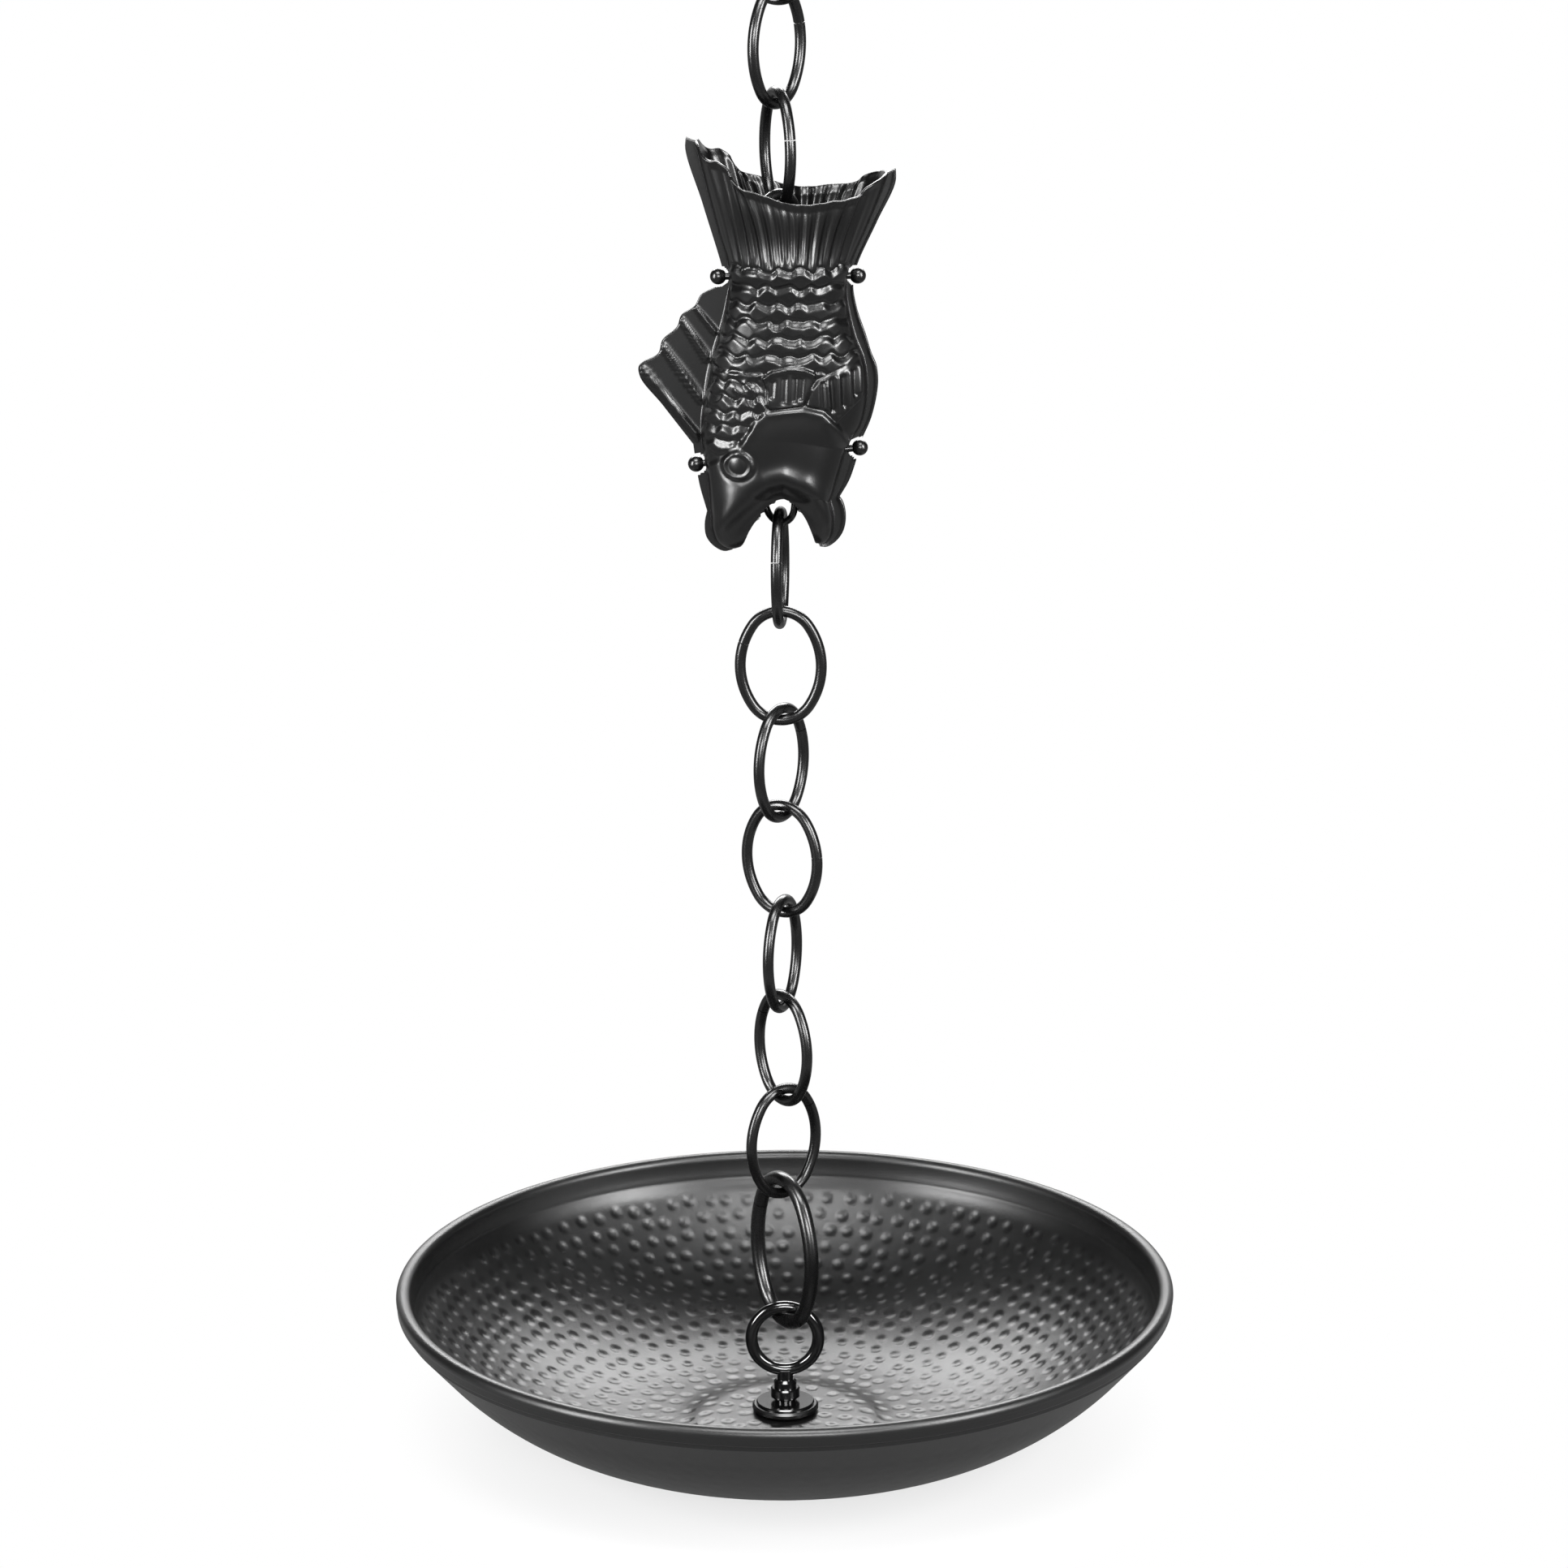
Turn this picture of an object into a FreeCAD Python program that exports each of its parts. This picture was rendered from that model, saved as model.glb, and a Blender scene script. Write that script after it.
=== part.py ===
import FreeCAD, Part
import math
import os

import Sketcher
from FreeCAD import Placement, Rotation, Vector

# Rain chain: wire links, a fish cup made of two pressed half shells, and a hammered
# basin on an eye bolt. The origin is the seat inside the top link, on the gutter's loop or hook.
# +Z is up, the chain hangs along -Z, and the fish faces -Y.

doc = FreeCAD.newDocument("RainChain")
sheet = doc.addObject("Spreadsheet::Sheet", "Sizes")

SIZES = [
    # Chain links, all alike: outer length and width, wire, and the play where two wires meet
    ("link_length", 53.0),
    ("link_width", 39.6),
    ("link_wire", 4.75),
    ("link_end_radius", 14.5),
    ("seat_play", 0.3),
    ("seam_gap", 0.4),
    # Plain link inside the fish's tail
    ("inner_link_length", 43.45),
    ("inner_link_width", 27.8),
    ("inner_link_end_radius", 11.2),
    # Fish shells: length from tail tip to lip, width from fin tip to tail tip, sheet, half depths,
    # pressed patterns, and the seam between the two flanges
    ("fish_length", 176.7),
    ("fish_width", 108.6),
    ("shell_sheet", 1.1),
    ("seam_clearance", 0.04),
    ("tail_depth", 22.5),
    ("waist_depth", 18.0),
    ("belly_depth", 21.0),
    ("mouth_depth", 18.0),
    ("lip_depth", 12.96),
    ("flute_height", 1.1),
    ("scale_height", 0.9),
    ("fin_height", 1.2),
    ("slot_depth", 0.6),
    ("head_height", 0.9),
    ("eye_height", 1.1),
    ("lip_height", 1.3),
    ("rib_height", 0.9),
    # Cross rods and their ball nuts
    ("rod_diameter", 3.0),
    ("rod_clearance", 0.3),
    ("ball_diameter", 6.9),
    ("notch_clearance", 1.15),
    ("thread_clearance", 0.05),
    # Ring in the fish's mouth
    ("mouth_ring_length", 35.3),
    ("mouth_ring_width", 21.0),
    ("mouth_ring_wire", 3.0),
    ("mouth_ring_end_radius", 8.4),
    # Heavy connector link under the chain
    ("connector_length", 72.7),
    ("connector_width", 54.3),
    ("connector_wire", 6.5),
    ("connector_end_radius", 19.9),
    # Eye bolt and the stack of washers and nuts on the basin's floor
    ("eye_diameter", 35.2),
    ("eye_wire", 5.5),
    ("shank_diameter", 5.8),
    ("hole_clearance", 0.3),
    ("neck_diameter", 7.2),
    ("neck_height", 1.6),
    ("collar_diameter", 10.0),
    ("collar_height", 3.9),
    ("collar_chamfer", 1.0),
    ("nut_diameter", 12.9),
    ("nut_height", 4.9),
    ("nut_chamfer", 0.6),
    ("sleeve_diameter", 9.6),
    ("sleeve_height", 1.5),
    ("washer_diameter", 25.8),
    ("washer_thickness", 1.2),
    ("washer_chamfer", 0.5),
    ("seal_diameter", 29.4),
    ("seal_thickness", 3.9),
    ("seal_round", 0.9),
    ("seal_taper", 1.7),
    ("lower_washer_diameter", 16.0),
    ("lower_washer_thickness", 1.0),
    ("lower_nut_width", 10.0),
    ("lower_nut_height", 2.6),
    # Basin
    ("basin_diameter", 344.0),
    ("basin_depth", 64.4),
    ("basin_sheet", 1.2),
    ("bead_radius", 3.2),
    ("hem_height", 7.0),
    ("hem_recess", 0.84),
    ("wall_straight", 18.86),
    ("foot_radius", 61.0),
    ("flat_ring_width", 9.0),
    ("disc_slope_width", 22.0),
    ("disc_rise", 4.1),
]
for row, (alias, size) in enumerate(SIZES, start=1):
    sheet.set("A%d" % row, alias)
    sheet.set("B%d" % row, str(size))
    sheet.setAlias("B%d" % row, alias)
doc.recompute()


def get(alias):
    return float(getattr(sheet, alias))


parts = []


def keep(shape_object, name):
    """Label an object as one finished piece."""
    shape_object.Label = name
    parts.append(shape_object)
    return shape_object


def origin_plane(body, role):
    return [plane for plane in body.Origin.OriginFeatures if plane.Role == role][0]


def sketch_on(body, role, name):
    sketch = body.newObject("Sketcher::SketchObject", name)
    sketch.AttachmentSupport = [(origin_plane(body, role), "")]
    sketch.MapMode = "FlatFace"
    return sketch


def arc_2d(centre_x, centre_y, radius, start, end):
    circle = Part.Circle(Vector(centre_x, centre_y, 0), Vector(0, 0, 1), radius)
    return Part.ArcOfCircle(circle, start, end)


# Links: an oval of four tangent arcs, open by a thin butt gap in one side strand


def link_body(name, prefix, wire_alias, seam_share):
    """A bent wire oval in its own XZ plane, centred on its origin; the seam's height is a share of
    half the wire's length."""
    wire = get(wire_alias)
    half_length = (get(prefix + "_length") - wire) / 2
    seam_height = seam_share * half_length
    half_width = (get(prefix + "_width") - wire) / 2
    end_radius = get(prefix + "_end_radius")
    side_radius = half_length**2 - 2 * half_length * end_radius + half_width**2
    side_radius /= 2 * (half_width - end_radius)
    turn = math.atan2(half_length - end_radius, side_radius - half_width)
    seam_from = math.asin((seam_height - get("seam_gap") / 2) / side_radius)
    seam_to = math.asin((seam_height + get("seam_gap") / 2) / side_radius)
    side_centre = half_width - side_radius
    end_centre = half_length - end_radius

    body = doc.addObject("PartDesign::Body", name)
    path = sketch_on(body, "XZ_Plane", name + "_path")
    path.addGeometry(arc_2d(side_centre, 0, side_radius, seam_to, turn))
    path.addGeometry(arc_2d(0, end_centre, end_radius, turn, math.pi - turn))
    path.addGeometry(arc_2d(-side_centre, 0, side_radius, math.pi - turn, math.pi + turn))
    path.addGeometry(arc_2d(0, -end_centre, end_radius, math.pi + turn, 2 * math.pi - turn))
    path.addGeometry(arc_2d(side_centre, 0, side_radius, 2 * math.pi - turn, 2 * math.pi + seam_from))
    section = sketch_on(body, "XY_Plane", name + "_section")
    section.AttachmentOffset = Placement(
        Vector(side_centre + side_radius * math.cos(seam_to), 0, seam_height + get("seam_gap") / 2),
        Rotation(Vector(0, 1, 0), -math.degrees(seam_to)),
    )
    section.addGeometry(Part.Circle(Vector(0, 0, 0), Vector(0, 0, 1), wire / 2))
    section.addConstraint(Sketcher.Constraint("Coincident", 0, 3, -1, 1))
    section.addConstraint(Sketcher.Constraint("Radius", 0, wire / 2))
    section.setExpression("Constraints[1]", "Sizes.%s / 2" % wire_alias)
    bent_wire = body.newObject("PartDesign::AdditivePipe", name + "_wire")
    bent_wire.Profile = section
    bent_wire.Spine = (path, [])
    return body


def hang(body, centre_height, yaw, seam_side):
    """Turn a link about the chain's axis; a left seam is the same link turned half a turn more."""
    turn = yaw + (180 if seam_side == "left" else 0)
    body.Placement = Placement(Vector(0, 0, centre_height), Rotation(Vector(0, 0, 1), turn))


link_reach = get("link_length") / 2 - get("link_wire") / 2
link_pitch = get("link_length") - 2 * get("link_wire") - get("seat_play")
top_link_height = get("link_wire") / 2 - link_reach

# Upper links: name, turn about the chain's axis, side and height of the seam
height = top_link_height
for name, yaw, seam_side, seam_share in (
    ("top_link", -30.0, "right", -0.08),
    ("link_01", 55.5, "right", 0.33),
    ("link_02", -72.0, "right", 0.25),
):
    body = link_body(name, "link", "link_wire", seam_share)
    hang(body, height, yaw, seam_side)
    keep(body, name)
    height -= link_pitch
upper_chain_end = height + link_pitch - link_reach

# Inner link: hangs in the last upper link and carries the fish's upper cross rod
inner_reach = (get("inner_link_length") - get("link_wire")) / 2
inner_height = upper_chain_end + get("link_wire") + get("seat_play") - inner_reach
inner_link = link_body("inner_link", "inner_link", "link_wire", 0.0)
hang(inner_link, inner_height, 47.0, "right")
keep(inner_link, "inner_link")

# The fish's own frame has its origin on the upper cross rod
rod_radius = get("rod_diameter") / 2
fish_height = inner_height - inner_reach + get("link_wire") / 2 + rod_radius + get("seat_play")
fish_place = Placement(Vector(0, 0, fish_height), Rotation())

# The fish is drawn at this length and width, and stretched to its sizes
DRAWN_LENGTH = 176.7
DRAWN_WIDTH = 108.6
stretch_up = get("fish_length") / DRAWN_LENGTH
stretch_across = get("fish_width") / DRAWN_WIDTH


def fish_point(across, up):
    """A drawn place in the fish's own frame, on the plane between its flanges."""
    return Vector(across * stretch_across, 0, up * stretch_up)


# Ball nut centres, and the two rods between them
UPPER_BALLS = (fish_point(-25.3, 0), fish_point(33.4, 0))
LOWER_BALLS = (fish_point(-35.4, -80.4), fish_point(34.1, -73.8))


def along(start, end):
    """Placement that turns +Z to point from start to end."""
    return Placement(start, Rotation(Vector(0, 0, 1), end - start))


def cross_rod(name, ends):
    rod = doc.addObject("Part::Cylinder", name)
    rod.setExpression("Radius", "Sizes.rod_diameter / 2")
    rod.Height = (ends[1] - ends[0]).Length
    rod.Placement = fish_place.multiply(along(*ends))
    return keep(rod, name)


def ball_nut(name, centre, inward):
    """A ball with a blind threaded hole that takes the rod's end up to the ball's centre."""
    ball = doc.addObject("Part::Sphere", name + "_ball")
    ball.setExpression("Radius", "Sizes.ball_diameter / 2")
    ball.Placement = fish_place.multiply(Placement(centre, Rotation()))
    hole = doc.addObject("Part::Cylinder", name + "_hole")
    hole.setExpression("Radius", "Sizes.rod_diameter / 2 + Sizes.thread_clearance")
    hole.setExpression("Height", "Sizes.ball_diameter")
    hole.Placement = fish_place.multiply(along(centre, inward))
    nut = doc.addObject("Part::Cut", name)
    nut.Base = ball
    nut.Tool = hole
    return keep(nut, name)


for level, ends in (("upper", UPPER_BALLS), ("lower", LOWER_BALLS)):
    cross_rod(level + "_cross_rod", ends)
    ball_nut(level + "_left_ball_nut", ends[0], ends[1])
    ball_nut(level + "_right_ball_nut", ends[1], ends[0])

# Fish outlines, as (across, up) points in the fish's frame, each from the mouth to the tail and
# in four stretches: lip, cheek, belly with fin, and tail
LEFT_EDGE = (
    ((-23.5, -117.8), (-27.7, -116.3), (-31.4, -111.7), (-32.0, -106.3), (-30.9, -100.7)),
    ((-30.9, -100.7), (-33.9, -89.7), (-34.8, -84.8), (-36.5, -71.7)),
    ((-36.5, -71.7), (-49.2, -54.8), (-58.9, -41.8), (-59.2, -38.3), (-57.4, -36.5), (-50.9, -32.8),
     (-49.1, -27.2), (-42.8, -21.4), (-41.0, -16.6), (-35.2, -12.5), (-32.7, -8.0), (-25.5, -4.3),
     (-21.9, -2.9)),
    ((-21.9, -2.9), (-23.7, 4.5), (-31.5, 31.0), (-38.6, 55.9), (-38.2, 58.9)),
)
LEFT_ROOT = (
    ((-23.0, -115.6), (-27.0, -113.2), (-29.3, -108.0), (-29.2, -101.4)),
    ((-29.2, -101.4), (-30.7, -85.5), (-32.9, -71.0)),
    ((-32.9, -71.0), (-33.2, -64.7), (-31.2, -48.7), (-28.3, -34.0), (-23.3, -16.7), (-20.6, -3.0)),
    ((-20.6, -3.0), (-21.0, 5.0), (-24.8, 19.0), (-30.0, 39.0), (-34.6, 57.5)),
)
RIGHT_ROOT = (
    ((18.2, -114.6), (21.6, -111.7), (22.9, -103.9), (21.4, -96.2)),
    ((21.4, -96.2), (24.5, -86.0), (28.5, -72.0)),
    ((28.5, -72.0), (34.2, -63.7), (37.2, -49.4), (36.1, -35.7), (32.2, -25.3), (28.7, -7.6), (28.6, -1.0)),
    ((28.6, -1.0), (30.6, 6.0), (37.0, 21.0), (43.0, 35.5), (46.0, 43.5)),
)
RIGHT_EDGE = (
    ((18.7, -116.1), (23.0, -114.3), (26.7, -109.9), (28.1, -102.7), (26.8, -97.0), (25.4, -94.9)),
    ((25.4, -94.9), (29.6, -87.5), (32.8, -78.1), (35.2, -69.3)),
    ((35.2, -69.3), (38.7, -61.3), (41.1, -51.8), (41.9, -44.5), (41.2, -38.2), (39.2, -33.3),
     (36.8, -25.3), (33.1, -14.2), (31.5, -4.8), (31.8, -1.0)),
    ((31.8, -1.0), (32.9, 4.0), (41.5, 23.1), (49.4, 40.7), (49.4, 45.1)),
)
MOUTH = ((-23.0, -115.6), (-18.7, -114.6), (-15.5, -111.6), (-12.9, -105.8), (-9.1, -99.8), (-5.6, -95.0),
         (-1.5, -91.2), (2.3, -90.2), (4.0, -91.3), (7.7, -95.9), (11.1, -101.3), (13.8, -107.8),
         (15.3, -113.4), (18.2, -114.6))
TAIL_RIM = ((-34.6, 57.5), (-28.5, 51.5), (-24.4, 51.3), (-20.4, 47.9), (-16.8, 41.8), (-7.0, 38.3),
            (3.2, 34.9), (12.3, 33.9), (22.2, 35.1), (32.1, 36.4), (38.5, 40.9), (46.0, 43.5))

# Pressed patterns: the two fins on the flank, the gill's edge, the crest of the lips, and the ribs
# of the side fin as start, end and half width
NEAR_FIN = ((-7.3, -39.2), (-3.1, -36.5), (4.8, -35.3), (15.8, -39.9), (11.5, -50.9), (4.0, -52.3),
            (-3.1, -52.1))
FAR_FIN = ((16.4, -40.5), (25.0, -37.5), (34.5, -33.0), (36.8, -42.0), (36.5, -49.4), (24.6, -59.3),
           (19.4, -52.7), (12.5, -51.5))
GILL = ((-15.5, -70.5), (-13.4, -66.6), (-9.1, -60.1), (-4.3, -53.9), (9.1, -51.5), (21.2, -57.2),
        (29.1, -67.3))
HEAD = GILL + ((40.0, -80.0), (30.0, -120.0), (-32.0, -120.0), (-34.0, -86.0), (-20.0, -86.0))
LIP_CREST = ((-27.5, -106.0), (-21.5, -99.5), (-13.5, -91.5), (-6.0, -84.5), (2.5, -81.8), (9.5, -85.0),
             (15.5, -92.0), (20.5, -103.0))
FIN_RIBS = (
    ((-33.4, -11.4), (-26.8, -22.9), 1.0),
    ((-41.4, -18.1), (-28.7, -36.5), 1.3),
    ((-49.4, -28.8), (-32.6, -52.5), 1.3),
    ((-57.3, -38.2), (-34.6, -67.0), 1.1),
)
EYE_CENTRE = (-16.4, -77.2)
EYE_RING_RADIUS = 5.1
TAIL_FLUTES = 13

# Net rows in each stretch of the outlines, columns over the bulge and the side fin, and the steps
# in which the mouth's and the tail's edges are read
ROW_COUNTS = (12, 14, 44, 34)
COLUMNS = 60
FIN_COLUMNS = 20
EDGE_STEPS = 400


def curve_points(points, count):
    """Points spaced evenly along the smooth curve through an outline's points."""
    curve = Part.BSplineCurve()
    curve.interpolate([fish_point(across, up) for across, up in points])
    return curve.discretize(Number=count)


def outline_points(stretches):
    """One point for each row of the shell's net, stretch by stretch."""
    points = []
    for stretch, count in zip(stretches, ROW_COUNTS):
        points += curve_points(stretch, count + 1)[:-1]
    return points + [fish_point(*stretches[-1][-1])]


def ease(value, low, high):
    """0 below low, 1 above high and a smooth step between."""
    share = min(max((value - low) / (high - low), 0.0), 1.0)
    return share * share * (3 - 2 * share)


def crest(distance, spread):
    """A round ridge's height, from 1 on its line to 0 away from it."""
    return math.exp(-((distance / spread) ** 2))


def line_distance(points, across, up):
    """Distance from a place to the line through the points."""
    nearest = float("inf")
    for (start_x, start_z), (end_x, end_z) in zip(points, points[1:]):
        run_x = end_x - start_x
        run_z = end_z - start_z
        share = ((across - start_x) * run_x + (up - start_z) * run_z) / (run_x**2 + run_z**2)
        share = min(max(share, 0.0), 1.0)
        nearest = min(nearest, math.hypot(across - start_x - share * run_x, up - start_z - share * run_z))
    return nearest


def area(outline, across, up, blur=0.9):
    """1 inside a closed outline, 0 outside, with a soft edge."""
    closed = outline + outline[:1]
    within = False
    for (start_x, start_z), (end_x, end_z) in zip(closed, closed[1:]):
        if (start_z > up) != (end_z > up):
            if across < start_x + (end_x - start_x) * (up - start_z) / (end_z - start_z):
                within = not within
    distance = line_distance(closed, across, up)
    return ease(distance if within else -distance, -blur, blur)


def half_depth(up):
    """How far the shell bulges from the flange at each height."""
    stations = (
        (-116.0, get("lip_depth")),
        (-92.0, get("mouth_depth")),
        (-45.0, get("belly_depth")),
        (4.0, get("waist_depth")),
        (40.0, get("tail_depth")),
    )
    for (low, low_depth), (high, high_depth) in zip(stations, stations[1:]):
        if up <= high:
            return low_depth + (high_depth - low_depth) * ease(up, low, high)
    return stations[-1][1]


def scale_rows(across, up, first_row, pitch, width, arch):
    """Overlapping scales in staggered rows: each is high at its arched free edge, which points to the
    tail, and sinks towards the mouth."""
    row_here = math.floor((first_row - up) / pitch)
    for row in range(row_here + 2, row_here - 3, -1):
        turn = math.pi * (across / width + row / 2)
        below_edge = first_row - row * pitch + arch * (abs(math.cos(turn)) - 0.5) - up
        if below_edge >= 0:
            sunk = 0.85 * below_edge / (pitch + arch / 2)
            return get("scale_height") * ease(below_edge, 0.0, 1.4) * (1 - sunk)
    return 0.0


def relief(across, up, share):
    """Pressed pattern on the shell, as a height along its normal; share runs from 0 to 1 across."""
    middle = ease(share, 0.0, 0.08) * (1 - ease(share, 0.92, 1.0))
    near_fin = area(NEAR_FIN, across, up)
    far_fin = area(FAR_FIN, across, up) * (1 - near_fin)
    head = area(HEAD, across, up)
    flank = (1 - near_fin) * (1 - far_fin) * (1 - head)
    flutes = get("flute_height") * ease(up, 12.0, 30.0) * math.cos(2 * TAIL_FLUTES * math.pi * share)
    upper_scales = scale_rows(across, up, 5.5, 7.25, 8.9, 2.6)
    upper_scales *= ease(up, -38.0, -35.0) * (1 - ease(up, 4.5, 7.0))
    lower_scales = scale_rows(across + 3.0, up, -35.6, 6.3, 7.6, 2.2)
    lower_scales *= ease(up, -74.0, -70.0) * (1 - ease(up, -37.0, -34.5)) * (1 - ease(across, -9.0, -6.0))
    slots = get("slot_depth") * math.cos(2 * math.pi * across / 4.6)
    fins = near_fin * (get("fin_height") + slots) + far_fin * (0.7 * get("fin_height") + slots)
    eye_distance = math.hypot(across - EYE_CENTRE[0], up - EYE_CENTRE[1])
    eye = get("eye_height") * (crest(eye_distance - EYE_RING_RADIUS, 1.2) + 0.7 * crest(eye_distance, 2.7))
    lips = get("lip_height") * crest(line_distance(LIP_CREST, across, up), 3.4)
    lips *= ease(line_distance(MOUTH, across, up), 0.0, 4.0)
    scales = flank * (upper_scales + lower_scales)
    return middle * (flutes + scales + fins + head * get("head_height") + eye + lips)


def fin_ribs(across, up):
    """Height of the ribs pressed in the side fin, each a straight ridge."""
    return max(get("rib_height") * crest(line_distance((start, end), across, up), spread)
               for start, end, spread in FIN_RIBS)


def net_face(net):
    """A face on a B-spline surface whose poles are the net, clamped along its four sides."""
    degrees = [min(3, count - 1) for count in (len(net), len(net[0]))]
    knots = []
    multiplicities = []
    for count, degree in zip((len(net), len(net[0])), degrees):
        spans = count - degree
        knots.append([float(knot) for knot in range(spans + 1)])
        multiplicities.append([degree + 1] + [1] * (spans - 1) + [degree + 1])
    surface = Part.BSplineSurface()
    surface.buildFromPolesMultsKnots(net, *multiplicities, *knots, False, False, *degrees)
    return surface.toShape()


def front_half_shell():
    """The front half as one solid: two skins a sheet apart, joined along flanges, rim and mouth."""
    sheet_thickness = get("shell_sheet")
    seam = -get("seam_clearance") / 2
    left_edge, left_root, right_root, right_edge = (
        outline_points(stretches) for stretches in (LEFT_EDGE, LEFT_ROOT, RIGHT_ROOT, RIGHT_EDGE)
    )
    last = len(left_root) - 1
    shares = [(1 - math.cos(math.pi * column / COLUMNS)) / 2 for column in range(COLUMNS + 1)]
    mouth = curve_points(MOUTH, EDGE_STEPS + 1)
    rim = curve_points(TAIL_RIM, EDGE_STEPS + 1)
    mouth_reach = 0.42 * last
    rim_start = 0.70 * last

    base = []
    for share in shares:
        column = []
        mouth_sag = mouth[round(EDGE_STEPS * share)] - (left_root[0] * (1 - share) + right_root[0] * share)
        rim_sag = rim[round(EDGE_STEPS * share)] - (left_root[last] * (1 - share) + right_root[last] * share)
        for row in range(last + 1):
            point = left_root[row] * (1 - share) + right_root[row] * share
            bulge = half_depth(point.z / stretch_up) * (1 - abs(2 * share - 1) ** 2.3) ** 0.5
            point += mouth_sag * max(1 - row / mouth_reach, 0.0) ** 2
            point += rim_sag * max((row - rim_start) / (last - rim_start), 0.0) ** 2
            column.append(Vector(point.x, seam - sheet_thickness - bulge, point.z))
        base.append(column)

    outer = []
    inner = []
    for index, column in enumerate(base):
        outer_column = []
        inner_column = []
        for row, point in enumerate(column):
            if index in (0, COLUMNS):
                inward = Vector(sheet_thickness if index == 0 else -sheet_thickness, 0, 0)
                outer_column.append(point)
                inner_column.append(Vector(point.x, seam, point.z) + inward)
                continue
            across = base[index + 1][row] - base[index - 1][row]
            up = column[min(row + 1, last)] - column[max(row - 1, 0)]
            normal = across.cross(up).normalize()
            raised = point + normal * relief(point.x / stretch_across, point.z / stretch_up, shares[index])
            outer_column.append(raised)
            inner_column.append(raised - normal * sheet_thickness)
        outer.append(outer_column)
        inner.append(inner_column)

    left_outer = []
    left_inner = []
    for step in range(FIN_COLUMNS + 1):
        share = step / FIN_COLUMNS
        outer_column = []
        inner_column = []
        for row in range(last + 1):
            flat = left_edge[row] * (1 - share) + left_root[row] * share
            rib = fin_ribs(flat.x / stretch_across, flat.z / stretch_up) if step < FIN_COLUMNS else 0.0
            outer_column.append(Vector(flat.x, seam - sheet_thickness - rib, flat.z))
            root = inner[0][row]
            inside = left_edge[row] * (1 - share) + Vector(root.x, 0, root.z) * share
            inner_column.append(Vector(inside.x, seam, inside.z))
        left_outer.append(outer_column)
        left_inner.append(inner_column)

    right_outer = [outer[-1], [Vector(point.x, seam - sheet_thickness, point.z) for point in right_edge]]
    right_inner = [inner[-1], [Vector(point.x, seam, point.z) for point in right_edge]]

    faces = []
    for over, under in ((left_outer, left_inner), (outer, inner), (right_outer, right_inner)):
        faces += [net_face(over), net_face(under)]
        for row in (0, last):
            faces.append(net_face([[column[row] for column in over], [column[row] for column in under]]))
    faces.append(net_face([left_outer[0], left_inner[0]]))
    faces.append(net_face([right_outer[-1], right_inner[-1]]))
    skin = Part.Compound(faces)
    skin.sewShape()
    solid = Part.Solid(Part.Shell(skin.Faces))
    if solid.Volume < 0:
        solid.reverse()
    return solid


def opened_for_rods(solid):
    """Cut the round notches for the ball nuts together with the holes for the rods."""
    notch_radius = get("ball_diameter") / 2 + get("notch_clearance")
    notch_depth = 1.9 * get("shell_sheet")
    cutters = []
    for ends in (UPPER_BALLS, LOWER_BALLS):
        run = ends[1] - ends[0]
        cutter = Part.makeCylinder(rod_radius + get("rod_clearance"), run.Length, ends[0], run)
        for centre in ends:
            start = centre - Vector(0, notch_depth, 0)
            cutter = cutter.fuse(Part.makeCylinder(notch_radius, 2 * notch_depth, start, Vector(0, 1, 0)))
        cutters.append(cutter)
    return solid.cut(cutters)


front_solid = opened_for_rods(front_half_shell())
front_shell = doc.addObject("Part::Feature", "fish_front_shell")
front_shell.Shape = front_solid
front_shell.Placement = fish_place
keep(front_shell, "fish_front_shell")

back_shell = doc.addObject("Part::Feature", "fish_back_shell")
back_shell.Shape = front_solid.mirror(Vector(0, 0, 0), Vector(0, 1, 0))
back_shell.Placement = fish_place
keep(back_shell, "fish_back_shell")

# Ring in the mouth: hangs on the lower rod where the rod crosses the chain's axis
low_left, low_right = LOWER_BALLS
lower_rod_height = low_left.z + (low_right.z - low_left.z) * (0 - low_left.x) / (low_right.x - low_left.x)
ring_wire = get("mouth_ring_wire")
ring_reach = (get("mouth_ring_length") - ring_wire) / 2
ring_height = fish_height + lower_rod_height + rod_radius + ring_wire / 2 + get("seat_play") - ring_reach
mouth_ring = link_body("mouth_ring", "mouth_ring", "mouth_ring_wire", 0.06)
hang(mouth_ring, ring_height, -42.0, "right")
keep(mouth_ring, "mouth_ring")

# Lower links: name, turn about the chain's axis, side and height of the seam
height = ring_height - ring_reach + ring_wire / 2 + get("link_wire") / 2 + get("seat_play") - link_reach
for name, yaw, seam_side, seam_share in (
    ("link_03", 84.5, "left", 0.25),
    ("link_04", -4.0, "left", 0.41),
    ("link_05", 56.5, "right", 0.50),
    ("link_06", -29.5, "right", 0.12),
    ("link_07", 69.0, "right", 0.62),
    ("link_08", -53.5, "left", 0.58),
    ("link_09", 36.0, "right", 0.62),
):
    body = link_body(name, "link", "link_wire", seam_share)
    hang(body, height, yaw, seam_side)
    keep(body, name)
    height -= link_pitch
lower_chain_end = height + link_pitch - link_reach

# Connector link
connector_reach = (get("connector_length") - get("connector_wire")) / 2
connector_height = (lower_chain_end + (get("link_wire") + get("connector_wire")) / 2
                    + get("seat_play") - connector_reach)
connector = link_body("connector_link", "connector", "connector_wire", 0.48)
hang(connector, connector_height, -60.3, "left")
keep(connector, "connector_link")

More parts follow.
